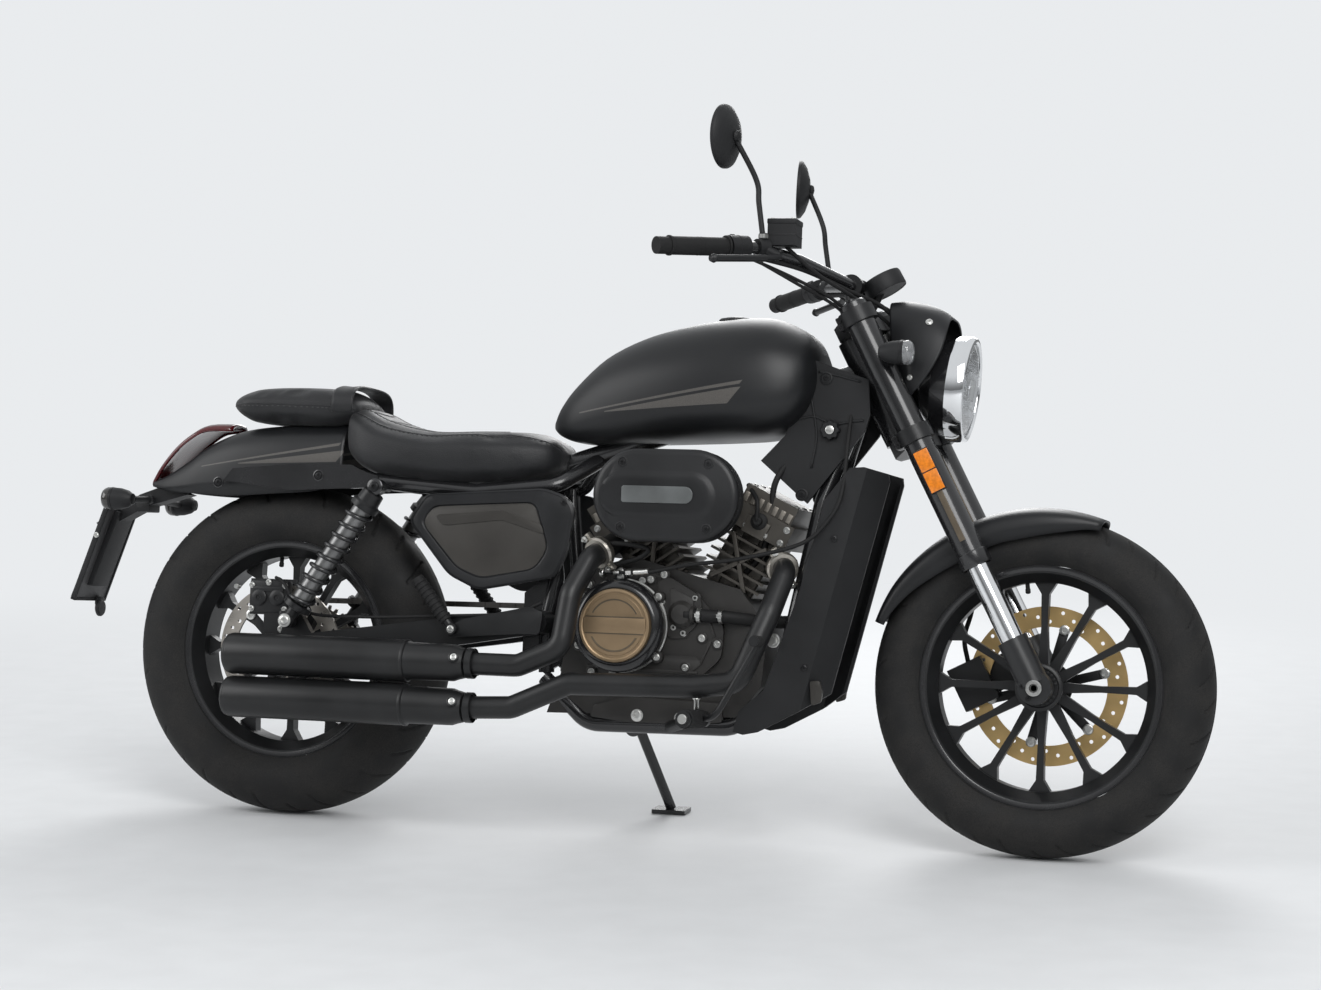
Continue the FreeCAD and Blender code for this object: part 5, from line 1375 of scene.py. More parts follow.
def clutch_cap():
    """Bronze cap with a raised bar across it, in its black rim and ring of screws."""
    dish = [(69, 62), (68.8, 70), (67.6, 72.2), (63.6, 73), (61.4, 72), (60.8, 70.8), (0.1, 70.8)]
    bronze = Shape().lathe(dish, CLUTCH, 88)
    for sign in SIDES:
        for radius, top in ((57.0, 71.8), (50.0, 72.6)):
            edge = 19.0 + (57.0 - radius) * 0.5
            reach = math.acos(edge / radius)
            arc = []
            for k in range(29):
                angle = -reach + 2 * reach * k / 28
                arc.append((sign * radius * math.cos(angle), radius * math.sin(angle)))
            low = [CLUTCH @ Vector((x, y, 70.2)) for x, y in arc]
            mid = [CLUTCH @ Vector((x, y, top - 0.7)) for x, y in arc]
            inner = [CLUTCH @ Vector((x * 0.985, y * 0.985, top)) for x, y in arc]
            bronze.skin([low, mid, inner])
    bronze.box((-14.5, -60.0, 70.2), (14.5, 60.0, 72.4), CLUTCH, 1.4)
    bronze.done("clutch_cap", "frame", "bronze_cover", BRONZE)
    # Painted shade in darker bronze: thin lines along the foot of the raised bar's long edges, and a band
    # just inside the inner raised arcs.
    shade = Shape()
    for sign in SIDES:
        shade.box((sign * 15.6 - 1.1, -56.5, 70.6), (sign * 15.6 + 1.1, 56.5, 71.2), CLUTCH, 0.2)
        rows = []
        for radius, height in ((46.4, 72.9), (49.2, 73.0)):
            reach = math.acos(22.0 / radius)
            row = []
            for k in range(29):
                angle = -reach + 2 * reach * k / 28
                row.append(
                    CLUTCH @ Vector((sign * radius * math.cos(angle), radius * math.sin(angle), height))
                )
            rows.append(row)
        shade.skin(rows, closed=False, caps=False)
    shade.done("clutch_cap_painted_shade", "frame", "bronze_cover", BRONZE_DARK)
    rim = [(84, 44), (87.4, 45), (87.4, 50), (84, 56), (78, 62), (74, 64.4), (70.4, 64.4), (69.4, 61)]
    Shape().lathe(rim, CLUTCH, 88).done("clutch_rim", "frame", "engine_paint", GLOSS)
    gasket = Shape().lathe([(86, 19), (88.6, 19.4), (88.6, 22.2), (86, 22.6)], CLUTCH, 88)
    gasket.done("clutch_gasket", "frame", "bright_steel", STEEL)
    lugs, screws = Shape(), Shape()
    for degrees in (38, 92, 146, 206, 262, 322):
        angle = math.radians(degrees)
        spot = Vector((CLUTCH_AXLE.x + 91 * math.cos(angle), -104, CLUTCH_AXLE.z + 91 * math.sin(angle)))
        lugs.lathe([(11, 0), (11, 17), (8.6, 19.6), (0.1, 19.6)], aimed(spot, -LEFT), 24)
        screws.bolt(spot - LEFT * 19.2, -LEFT, 5.6, 4.6)
    lugs.done("clutch_lugs", "frame", "engine_paint", ENGINE)
    screws.done("clutch_screws", "frame", "bright_steel", STEEL)


clutch_cap()


def left_engine_details():
    """Generator cover with its screws, and those of the left case."""
    cover, screws = Shape(), Shape()
    place = aimed(CRANK + LEFT * 92, LEFT)
    cover.lathe(
        [
            (80, 26), (81.4, 27), (81.4, 32), (72, 41), (66.5, 45), (64, 44.6), (60, 47.4), (30, 50.8),
            (28, 49.4), (0.1, 50.2),
        ],
        place, 72,
    )
    for degrees in range(15, 375, 60):
        angle = math.radians(degrees)
        spot = Vector((CRANK.x + 85 * math.cos(angle), 92, CRANK.z + 85 * math.sin(angle)))
        cover.lathe([(10.5, 0), (10.5, 14), (8.4, 16.4), (0.1, 16.4)], aimed(spot, LEFT), 24)
        screws.bolt(spot + LEFT * 16.2, LEFT, 5.4, 4.4)
    for x, z in ((590, 345), (590, 420), (640, 446), (712, 440), (732, 400), (712, 330), (640, 322)):
        screws.bolt((x, 114, z), LEFT, 5.2, 4.2)
    cover.done("generator_skin", "frame", "engine_paint", ENGINE)
    screws.done("left_case_screws", "frame", "bright_steel", STEEL)


left_engine_details()

# Air cleaner, over the centre of its oval

CLEANER_X, CLEANER_Z = 807, 637
BADGE_RADIUS = 15.5


def stadium(radius, y, front=53.0, rear=-53.0, steps=24):
    """An oval ring at a Y value: two half rounds joined by straight runs."""
    ring = []
    for start, end_x in ((-math.pi / 2, front), (math.pi / 2, rear)):
        for k in range(steps + 1):
            angle = start + math.pi * k / steps
            x = CLEANER_X + end_x + radius * math.cos(angle)
            ring.append(Vector((x, y, CLEANER_Z + radius * math.sin(angle))))
    return ring


def cleaner_details():
    """Lid, ribbed filter band, screws and blank plate of the air cleaner."""
    lid = Shape()
    edge = [(82, -187), (85, -187.6), (86, -189.4), (86, -193), (84.6, -196.6), (80, -199.8), (74, -201.4)]
    rings = [stadium(r, y) for r, y in edge]
    rise = [
        (46, -202.2, 53, -77), (43, -203.2, 52, -80), (39, -205.6, 50, -85), (35, -206.8, 48, -88),
        (28, -207.2, 44, -88), (14, -207.4, 44, -88), (0.3, -207.4, 40, -84),
    ]
    rings += [stadium(r, y, front, rear) for r, y, front, rear in rise]
    lid.skin(rings, caps=False)
    lid.done("cleaner_lid", "frame", "black_plastic", SATIN)
    bars = Shape()
    outline = stadium(82.2, -180, steps=60)
    length = 0.0
    last = outline[-1]
    for here in outline:
        step = (here - last).length
        length += step
        if length > 6.4 and step > 0.01:
            count = max(1, int(step // 6.4))
            for n in range(count):
                spot = last + (here - last) * ((n + 1) / count)
                outward = Vector((here.z - last.z, 0, last.x - here.x)).normalized()
                bars.box((-1.5, -8, -1.7), (1.5, 8, 1.7), aimed(spot, outward, here - last), 0.4)
            length = 0.0
        last = here
    bars.skin(
        [stadium(82.8, -178.6), stadium(84.2, -178.8), stadium(84.2, -181.2), stadium(82.8, -181.4)],
        caps=False,
    )
    bars.done("cleaner_grille", "frame", "black_plastic", PLASTIC)
    screws, cups = Shape(), Shape()
    for x in (725, 889):
        for z in (577, 697):
            cups.lathe(
                [(10.2, 0), (10.2, 1.2), (8.2, 1.8), (7.4, 0.4), (0.1, 0.4)], aimed((x, -201.0, z), -LEFT), 28
            )
            screws.bolt((x, -201.2, z), -LEFT, 4.6, 3.2)
    cups.done("cleaner_screw_seats", "frame", "black_plastic", PLASTIC)
    screws.done("cleaner_screws", "frame", "black_cast", BLACK_STEEL)
    front, rear = 56.0, -80.0
    badge, rows = Shape(), []
    for inset, y in ((0.0, -207.0), (0.0, -209.0), (1.0, -209.8)):
        ring = []
        radius = BADGE_RADIUS - inset
        for k in range(17):
            angle = -math.pi / 2 + math.pi * k / 16
            x = CLEANER_X + front - BADGE_RADIUS + radius * math.cos(angle)
            ring.append(Vector((x, y, CLEANER_Z + 1 + radius * math.sin(angle))))
        for x, z in ((rear + 3, 15.5), (rear, 12.5), (rear, -12.5), (rear + 3, -15.5)):
            spot_z = CLEANER_Z + 1 + z * radius / BADGE_RADIUS
            ring.append(Vector((CLEANER_X + x + inset * 0.7, y, spot_z)))
        rows.append(ring)
    badge.skin(rows)
    badge.done("cleaner_badge", "frame", "bright_steel", BADGE)


cleaner_details()

# Exhaust

# radius, distance from the tail end
CAN_PROFILE = [
    (0.1, 32), (17, 32), (17, 3), (19, 0.4), (27.5, 0), (33, 1.6), (37, 5), (39.5, 14), (39.5, 366),
    (38.6, 370), (35.5, 378), (34.5, 464), (31, 474), (28, 486), (21.5, 487), (0.1, 487),
]
CAN_HEIGHTS = (314, 232)
CAN_TAIL, CAN_Y = -48, -212


def exhaust_details():
    """Rings, clamps and screws of the silencers, and a near-black disc of painted shade deep in each outlet.
    """
    ends, screws, clamps, seats = Shape(), Shape(), Shape(), Shape()
    for height in CAN_HEIGHTS:
        place = aimed((CAN_TAIL, CAN_Y, height), -AHEAD)
        ends.lathe(
            [
                (17.2, -30), (17.2, -2), (19.5, 1.2), (22.5, 1.4), (24.5, -0.4), (29, -0.6), (35, -3),
                (38.4, -9),
            ],
            place, 56,
        )
        # A near-black disc 30 mm inside each outlet: painted shade over the pipe's closed end.
        seats.lathe([(0.1, -30), (17.1, -30), (17.1, -28)], place, 40)
        clamp = aimed((446, CAN_Y, height), AHEAD)
        clamps.lathe([(27, -4), (28.6, -3), (28.6, 9), (27, 10)], clamp, 48)
        clamps.box((-6, 26, -2), (6, 37, 8), clamp @ Matrix.Rotation(math.radians(150), 4, "Z"), 1.4)
        spot = Vector((425, -246.8, height + 12))
        ends.lathe([(10, -1), (10, 1.2), (8, 1.8), (7, 0.6), (7, -3)], aimed(spot, (0, -0.94, 0.34)), 28)
        screws.bolt(spot + Vector((0, 0.6, 0)), (0, -0.94, 0.34), 5.4, 2.4)
        band = [(39.7, 0), (40.2, 1), (40.2, 5), (38, 7), (35.7, 7.4)]
        ends.lathe(band, aimed((318, CAN_Y, height), AHEAD), 64)
    ends.done("muffler_trim", "frame", "exhaust_black", HEAT)
    seats.done("muffler_outlet_shade", "frame", "exhaust_black", DARK)
    clamps.done("muffler_clamps", "frame", "black_cast", CAST)
    screws.done("muffler_screws", "frame", "bright_steel", STEEL)


exhaust_details()

# Side covers, neck covers, shroud


def shrunk(corners, inset):
    """A panel's outline drawn in towards its middle."""
    middle = sum((Vector(corner) for corner in corners), Vector((0, 0))) / len(corners)
    out = []
    for corner in corners:
        away = Vector(corner) - middle
        out.append(tuple(middle + away * (1 - inset / away.length)))
    return out


SIDE_VIEW = [
    (312, 631), (553, 648), (596, 634), (614, 608), (600, 526), (580, 480), (426, 451), (366, 478), (280, 580)
]
SIDE_INSET = [(326, 610), (536, 622), (566, 534), (540, 494), (430, 472), (380, 492), (304, 578)]
SIDE_CREASE = [(334, 592), (470, 604), (548, 580), (556, 560), (470, 586), (350, 572)]


def side_details():
    """Inset, crease, rim and screw of both side covers."""
    for side, hand in HANDS:
        inset = Shape().plate(shrunk(SIDE_INSET, 4.0), side * 127.8, side * 131.6, 1.6, None, 16.0)
        inset.done("side_inset_" + hand, "frame", "matte_paint", INSET)
        crease = Shape().plate(SIDE_CREASE, side * 131.0, side * 133.0, 0.9, None, 8.0)
        crease.done("side_crease_" + hand, "frame", "matte_paint", INSET)
        rim = Shape()
        outline, inner = rounded(SIDE_VIEW, 16.0), rounded(shrunk(SIDE_VIEW, 5.0), 14.0)
        rings = []
        for ring, y in ((outline, 122.6), (outline, 132.4), (inner, 134.9)):
            rings.append([Vector((x, side * y, z)) for x, z in ring])
        rim.skin(rings, caps=False)
        rim.done("side_rim_" + hand, "frame", "matte_paint", PLAIN_PAINT)
        fasteners = Shape().bolt((592, side * 134.2, 622), LEFT * side, 5.0, 2.0)
        fasteners.done("side_screw_" + hand, "frame", "black_cast", BLACK_STEEL)


side_details()


# x and z along each line
NECK_LINES = [
    [(1022, 790), (1052, 796), (1080, 786)], [(1098, 782), (1126, 788), (1148, 790)],
    [(1060, 880), (1092, 874), (1140, 862)], [(1052, 700), (1060, 760), (1048, 830)],
]


def neck_details():
    """Lines, screws and fluted knobs of the neck covers."""
    lines, screws, knobs, bright = Shape(), Shape(), Shape(), Shape()
    for side in SIDES:
        out = LEFT * side
        y = side * 72.4
        for x, z in ((1075, 868), (1036, 650)):
            knobs.lathe([(12, 0), (12, 2.2), (9.5, 3), (8.5, 1.2), (0.1, 1.2)], aimed((x, y, z), out), 28)
            screws.bolt((x, y + side * 0.8, z), out, 5.0, 3.4)
        for route in NECK_LINES:
            lines.tube([(x, y, z) for x, z in route], 2.4, 8)
        knob = aimed((1087, y, 771), out)
        points = []
        for low, size in ((0, 1.0), (9, 1.0), (12, 0.9)):
            ring = []
            for k in range(48):
                angle = 2 * math.pi * k / 48
                radius = (17.5 + 1.8 * math.cos(8 * angle)) * size
                ring.append(knob @ Vector((radius * math.cos(angle), radius * math.sin(angle), low)))
            points.append(ring)
        knobs.skin(points)
        bright.lathe([(8, 11.6), (8, 13.4), (6.6, 14), (0.1, 14)], knob, 24)
    lines.done("neck_lines", "frame", "black_plastic", PLASTIC, (), 0)
    screws.done("neck_screws", "frame", "black_cast", BLACK_STEEL)
    knobs.done("neck_knobs", "frame", "black_plastic", PLASTIC)
    bright.done("neck_bright_parts", "frame", "bright_steel", STEEL)


neck_details()


SHROUD_TIP = [(1072, 306), (1090, 308), (1096, 288), (1094, 268), (1076, 262)]


def shroud_details():
    """Screws and tips of the radiator's shroud, and the radiator's fins."""
    screws, tips, fins = Shape(), Shape(), Shape()
    for side in SIDES:
        for x, z in ((1108, 569), (1060, 330)):
            screws.bolt((x, side * 111.2, z), LEFT * side, 5.4, 3.0)
        tips.plate(SHROUD_TIP, side * 104, side * 112, 1.2, None, 4.0)
    face = Matrix.Translation((1158, 0, 690)) @ Matrix.Rotation(math.atan2(86, 390), 4, "Y")
    for i in range(9):
        for k in range(8):
            z = -39.6 - i * 38 + k * 3.1
            fins.box((-4.4, -71, z - 0.35), (-1.6, 71, z + 0.35), face)
    screws.done("shroud_screws", "frame", "black_cast", BLACK_STEEL)
    tips.done("shroud_tips", "frame", "black_plastic", INSET)
    fins.done("radiator_fins", "frame", "alloy", CAST)


shroud_details()

# Tail, plate, shocks, rear brake


def shock_ends(side):
    """A damper's upper and lower eye."""
    return Vector((223, side * 154, 641)), Vector((48, side * 154, 380))


PLATE_REFLECTOR = aimed((-448, 28, 388), -AHEAD)


def tail_details():
    """Screws of the tail rails, and the number plate with its rim, lamp and reflector."""
    screws, seats, plates, lamp = Shape(), Shape(), Shape(), Shape()
    for side in SIDES:
        out = LEFT * side
        for x, z in ((-131, 645), (81, 663)):
            seats.lathe(
                [(11, -1), (11, 1.2), (9, 1.8), (7.6, 0.2), (0.1, 0.2)], aimed((x, side * 110, z), out), 28
            )
            screws.bolt((x, side * 110.1, z), out, 5.6, 3.0)
        eye = shock_ends(side)[0]
        seats.lathe([(16, 0), (16, 3), (12.5, 5), (0.1, 5)], aimed((eye.x, side * 166, eye.z), out), 32)
        screws.bolt((eye.x, side * 170.6, eye.z), out, 8.0, 4.0)
    screws.done("rail_screws", "frame", "black_cast", BLACK_STEEL)
    seats.done("rail_screw_seats", "frame", "frame_paint", GLOSS)
    tilt = math.atan2(64, 182)
    plate = Matrix.Translation((-394.2, 0, 591)) @ Matrix.Rotation(tilt, 4, "Y")
    plates.box((-4.6, -64, -196), (0.8, 64, 2), plate, 1.6)
    plates.done("plate_blank", "frame", "black_plastic", PLATE)
    frame_edge = Shape()
    # y and z of each bar's two ends
    for y, z, far_y, far_z in (
        (-66, -199, -60, 4), (60, -199, 66, 4), (-66, -2, 66, 5), (-66, -200, 66, -194)
    ):
        frame_edge.box((-7.4, y, z), (3, far_y, far_z), plate, 1.4)
    frame_edge.lathe([(0.1, -4), (15, -3.6), (17.4, -1), (17.4, 3.4), (16.2, 3.6)], PLATE_REFLECTOR, 28)
    frame_edge.box((-458, 20, 394), (-445, 36, 411), None, 1.4)
    frame_edge.done("plate_rim", "frame", "black_plastic", PLASTIC)
    for y in (-40, 40):
        lamp.bolt(plate @ Vector((-4.4, y, -22)), (-1, 0, 0.2), 5.0, 2.6)
    lamp.bolt(plate @ Vector((-1, -66.4, -60)), -LEFT, 4.6, 3.0)
    lamp.done("plate_screws", "frame", "bright_steel", STEEL)
    mark = Shape().lathe([(0.1, 5.6), (15, 5.4), (16.4, 4), (16.4, 1)], PLATE_REFLECTOR, 28)
    mark.done("plate_reflector", "frame", "red_lens", RED)
    lampbox = Shape().box((-352, -24, 585), (-322, 24, 606), None, 3.0)
    lampbox.done("plate_lamp", "frame", "black_plastic", PLASTIC)


tail_details()


def shock_details():
    """Bodies, collars and screws of both rear dampers."""
    bodies, screws, collars = Shape(), Shape(), Shape()
    for side in SIDES:
        top, foot = shock_ends(side)
        line = (top - foot).normalized()
        length = (top - foot).length
        bodies.rod(foot + line * 43, foot + line * (length - 49), 19.2, 28)
        place = aimed(foot, line)
        collars.lathe([(26, 30), (28.6, 31), (28.6, 42), (26, 43)], place, 36)
        for i in range(8):
            turned = place @ Matrix.Rotation(math.pi * i / 4, 4, "Z")
            collars.box((26.6, -3, 31.4), (29.8, 3, 41.6), turned, 0.8)
        upper = [(26, 50), (28, 49), (28, 38), (23, 34), (21.4, 14), (18, 12)]
        collars.lathe([(radius, length - down) for radius, down in upper], place, 36)
        screws.bolt((foot.x, side * 169.6, foot.z), LEFT * side, 9.0, 5.0)
        screws.lathe([(13, 0), (13, 2), (0.1, 2)], aimed((foot.x, side * 168, foot.z), LEFT * side), 28)
    bodies.done("shock_bodies", "frame", "bright_steel", SHOCK_BODY)
    collars.done("shock_collars", "frame", "frame_paint", CAST)
    screws.done("shock_screws", "frame", "bright_steel", STEEL)


shock_details()


def rear_brake_details():
    """Caliper block, screws and axle nuts at the rear wheel."""
    block, screws, hub = Shape(), Shape(), Shape()
    block.box((-58, -104, 392), (24, -78, 456), None, 6.0)
    for x in (-36, 2):
        block.lathe(
            [(15.5, 0), (15.5, 4), (12, 6), (5, 6), (4, 4.6), (0.1, 4.6)], aimed((x, -103, 422), -LEFT), 32
        )
    block.box((-50, -107, 434), (16, -96, 444), None, 3.0)
    block.box((10, -110, 352), (22, -98, 398), None, 3.0)
    block.done("rear_caliper_body", "frame", "black_cast", CAST)
    for x, z in ((-52, 446), (18, 446), (-52, 400), (18, 400), (-17, 452)):
        screws.bolt((x, -104, z), -LEFT, 4.8, 4.0)
    screws.rod((-88, -101, 442), (-88, -86, 442), 5.0, 16)
    screws.bolt((16, -110, 362), -LEFT, 6.0, 4.0)
    for side in SIDES:
        hub.lathe(
            [(15, 0), (15, 4), (12.6, 5), (12.6, 14), (9, 15), (0.1, 15)],
            aimed(REAR_AXLE + LEFT * side * 134, LEFT * side), 6, caps=True,
        )
        washer = aimed(REAR_AXLE + LEFT * side * 134, LEFT * side)
        screws.lathe([(19, 0), (19, 3), (14, 3.6)], washer, 32, caps=True)
        for x in (-52, -46):
            hub.rod((x, side * 122, REAR_AXLE.z), (x - 8, side * 122, REAR_AXLE.z), 5.4, 6)
    hub.done("rear_axle_nuts", "frame", "bright_steel", STEEL)
    screws.done("rear_brake_screws", "frame", "bright_steel", STEEL)


rear_brake_details()


def front_brake_details():
    """Caliper block and screws at the front wheel."""
    block, screws = Shape(), Shape()
    block.box((-158, 86, 22), (-86, 92, 102), FORK, 6.0)
    for z in (42, 82):
        block.lathe(
            [(16, 0), (16, 3), (13, 5), (5, 5), (4, 3.8), (0.1, 3.8)], aimed(in_fork(-122, 91, z), LEFT), 32
        )
    block.done("front_caliper_body", "fork", "black_cast", CAST)
    for x, z in ((-150, 62), (-94, 62), (-40, 44), (-40, 78)):
        screws.bolt(in_fork(x, 92 if x < -60 else 87, z), LEFT, 5.6, 4.0)
    screws.done("front_brake_screws", "fork", "bright_steel", STEEL)


front_brake_details()


def wheel_details():
    """Ribbed hub cap, and the valves and bright lips of both rims."""
    cap = Shape()
    place = aimed(FRONT_AXLE - LEFT * 60.6, -LEFT)
    steps = [
        (18, 0), (42, 0), (43.5, 1.5), (43.5, 4), (41, 6), (37, 6.4), (35.4, 3.2), (21, 3.2), (20, 6), (18, 6)
    ]
    cap.lathe(steps, place, 72)
    for i in range(24):
        if i % 6 in (1, 2, 3, 4):
            turned = place @ Matrix.Rotation(2 * math.pi * i / 24, 4, "Z")
            cap.box((23, -1.8, 2.6), (34, 1.8, 5.8), turned, 0.6)
    cap.done("front_hub_cap", "front_wheel", "black_cast", CAST)
    angle = math.radians(100)
    for name, axle, radius in (("front", FRONT_AXLE, 202), ("rear", REAR_AXLE, 193)):
        spot = axle + Vector((radius * math.cos(angle), -8, radius * math.sin(angle)))
        inward = Vector((-math.cos(angle), -0.5, -math.sin(angle))).normalized()
        stem = Shape().rod(spot, spot + inward * 26, 4.0, 14)
        stem.rod(spot + inward * 24, spot + inward * 32, 4.8, 14)
        stem.done(name + "_valve", name + "_wheel", "rubber", RUBBER)
    for name, axle, radius, half in (("front", FRONT_AXLE, 222, 46), ("rear", REAR_AXLE, 213, 58)):
        edges = Shape()
        for side in SIDES:
            place = aimed(axle + Vector((0, side * (half + 0.2), 0)), LEFT * side)
            edges.lathe(
                [(radius - 12, -1), (radius - 9, 0.6), (radius - 2, 0.6), (radius - 0.6, -1)], place, 120
            )
        edges.done(name + "_rim_lips", name + "_wheel", "black_cast", GLOSS)


wheel_details()


def helix(place, radius, low, rise, turns, steps):
    """Points of a coil round a place's Z, so many to each turn."""
    coil = []
    for k in range(turns * steps + 1):
        angle = 2 * math.pi * k / steps
        height = low + rise * k / (turns * steps)
        coil.append(place @ Vector((radius * math.cos(angle), radius * math.sin(angle), height)))
    return coil


def passenger_peg(side):
    """The hinge and the tip of a folded passenger's peg."""
    return Vector((386, side * 154, 376)), Vector((312, side * 156, 470))


def controls_details():
    """Ribbed rubbers of the pegs and pedals, and the stand's spring."""
    pads, bright = Shape(), Shape()
    for side in SIDES:
        root, end = Vector((890, side * 190, 231)), Vector((878.6, side * 271, 232.8))
        line = end - root
        for i in range(13):
            here = root + line * (0.06 + 0.07 * i)
            place = aimed(here, line)
            pads.lathe([(14.5, 0), (17.4, 0.8), (17.4, 3.2), (14.5, 4)], place, 28)
        bright.rod(end + line.normalized() * 2, end + line.normalized() * 9, 9.0, 20)
        toe, out = Vector((1006, side * 242, 376.4)), Vector((1006, side * 280, 378))
        for i in range(6):
            place = aimed(toe + (out - toe) * (0.04 + i * 0.17), out - toe)
            pads.lathe([(8.6, 0), (10.6, 0.8), (10.6, 3.4), (8.6, 4.2)], place, 24)
        hinge, tip = passenger_peg(side)
        for i in range(9):
            place = aimed(hinge + (tip - hinge) * (0.22 + i * 0.083), tip - hinge)
            pads.lathe([(11.6, 0), (13.8, 0.9), (13.8, 4), (11.6, 5)], place, 24)
        bright.bolt(hinge + LEFT * side * 9.4, LEFT * side, 6.0, 3.0)
    pads.done("peg_rubbers", "frame", "rubber", RUBBER)
    bright.done("peg_bright_parts", "frame", "bright_steel", STEEL)
    start, end = Vector((690, 158, 232)), Vector((712, 196, 210))
    coil = helix(aimed(start, end - start), 6, 0, (end - start).length, 12, 10)
    Shape().tube(coil, 1.9, 8, 1).done("stand_spring", "frame", "bright_steel", STEEL, (), 0)


controls_details()

# Forms that stand in for plainer solids

CHAIN_FRONT = Vector((612, 0, 384))
CHAIN_REAR_RADIUS, CHAIN_FRONT_RADIUS = 96.82, 41.75
CHAIN_MIDDLE = 91.5
CHAIN_PITCH = 15.875
RIGHT_CASE = [
    (625, 330), (650, 300), (852, 296), (900, 340), (904, 400), (848, 462), (800, 486), (736, 506),
    (660, 492), (622, 450),
]
LEFT_CASE = [(573, 335), (580, 430), (640, 456), (722, 448), (744, 400), (720, 322), (640, 314)]
BELLY_VIEW = [(648, 222), (655, 244), (720, 262), (905, 258), (905, 222), (830, 214), (720, 214)]
COOLANT_HOSE = [
    (830, -113, 420), (870, -113, 419), (908, -111, 418), (952, -90, 414), (1000, -56, 412), (1048, -34, 416),
]
# radius, distance along the indicator
POD = [(0.1, -33), (10, -31), (17, -21), (21, -6), (22, 8), (22, 22), (21, 24), (0.1, 24)]


def blinker_pods():
    """Indicator shells with their stalks."""
    for end, body, (x, y, z), aim, (root_x, root_y, root_z), _ in BLINKERS:
        pods = Shape()
        for side in SIDES:
            middle = Vector((x, side * y, z))
            pods.lathe(POD, aimed(middle, aim), 40)
            pods.rod((root_x, side * root_y, root_z), middle, 7.0, 20)
            collar = [(root_x, side * (root_y + out), root_z) for out in (8, 16)]
            pods.rod(*collar, 9.5, 24)
        pods.done(end + "_indicators_shell", body, "black_plastic", PLASTIC, [end + "_indicators"])


def mirror_heads():
    """Domed mirror shells on bent stems."""
    shells = Shape()
    profile = [(0.1, -16), (22, -14), (44, -7), (56, 1), (57.7, 4), (57.7, 9), (54, 9), (54, 6), (0.1, 6)]
    for side in SIDES:
        head, facing = mirror_face(side)
        shells.lathe(profile, aimed(head, facing), 64)
        foot = on_bar(side, -0.08, (2, 0, 14))
        elbow = Vector((979, side * 277, 1206))
        shells.tube([foot, foot + (elbow - foot) * 0.6, elbow, head - facing * 12], 5.0, 16, 10)
        shells.rod(foot, foot + Vector((0, 0, 12)), 8.0, 20)
    shells.done("mirror_shells", "fork", "black_plastic", PLASTIC, ["mirrors"])


def leg_details():
    """Collars and caps of the fork legs, and the backs of their reflectors."""
    pieces, backs = Shape(), Shape()
    along = (FORK.to_3x3() @ UP).normalized()
    for side in SIDES:
        y = side * FORK_SPREAD
        collar = aimed(in_fork(0, y, 244), along)
        pieces.lathe([(27, -2), (29, -1.4), (30, 1), (30, 24), (28.6, 26), (27, 26.4)], collar, 48)
        pieces.lathe([(25.4, 530), (25.4, 533), (23, 536), (11.4, 536), (11, 539), (0.1, 539)], collar, 48)
        backs.box((-15, side * 124.5, 392), (15, side * 135.0, 476), FORK, 1.5)
    pieces.done("fork_leg_trim", "fork", "frame_paint", GLOSS)
    backs.done("reflector_backs", "fork", "black_plastic", PLASTIC)


def case_covers():
    """Flat covers on both sides of the crankcase and along its belly, and the coolant hose."""
    covers = Shape().plate(RIGHT_CASE, -104, -91, 2.0, None, 14.0)
    covers.plate(LEFT_CASE, 91, 114, 2.0, None, 14.0)
    covers.plate(BELLY_VIEW, -100, -91, 1.5, None, 5.0)
    covers.done("case_covers", "frame", "engine_paint", ENGINE)
    hose = Shape().tube(COOLANT_HOSE, 12.0, 24, 10)
    hose.done("coolant_hose", "frame", "rubber", RUBBER, (), 0)


def cylinder_ribs():
    """Slanted ribs of the barrels and ports of the heads."""
    ribs, heads = Shape(), Shape()
    for _, place, foot, top in BANKS:
        for side in SIDES:
            for tilt in (-38, 38):
                turned = place @ Matrix.Translation((0, side * 80, 166)) @ Matrix.Rotation(
                    math.radians(tilt), 4, "Y"
                )
                ribs.box((-4, -6, -58), (4, 6, 58), turned, 1.2)
            heads.box((-24, side * 83, top - 84), (24, side * 92.6, top - 50), place, 3.0)
            for x in (-58, 58):
                heads.box((x - 7, side * 78, foot + 2), (x + 7, side * 85.4, top - 38), place, 3.0)
    ribs.done("cylinder_ribs", "frame", "alloy", HEADS)
    heads.done("head_ports", "frame", "alloy", HEADS)


# end radius and y of each oval in the backing's four skins
BACKING = [
    [(60, -150), (84, -150.2), (85, -151.4), (85, -171), (84, -172.2), (78, -172.4)],
    [(60, -150), (0.2, -150)], [(78.6, -173), (78.6, -189)], [(78, -187.6), (83, -187.4), (85.4, -188.6)],
]


def oval_cleaner():
    """The air cleaner's backing and the duct behind it."""
    back = Shape()
    for rings in BACKING:
        back.skin([stadium(radius, y) for radius, y in rings], caps=False)
    duct = aimed((CLEANER_X, -152, CLEANER_Z - 10), LEFT)
    back.lathe([(36, 0), (36, 120)], duct, 36, caps=True)
    back.lathe([(36.2, 14), (38.6, 15), (38.6, 26), (36.2, 27)], duct, 36)
    back.done("cleaner_back", "frame", "black_plastic", PLASTIC, ["air_cleaner"])


def silencers():
    """Two silencers with open ends, one over the other."""
    cans = Shape()
    for height in CAN_HEIGHTS:
        cans.lathe(CAN_PROFILE, aimed((CAN_TAIL, CAN_Y, height), AHEAD), 72)
    cans.done("silencer_cans", "frame", "exhaust_black", HEAT, ["mufflers"])


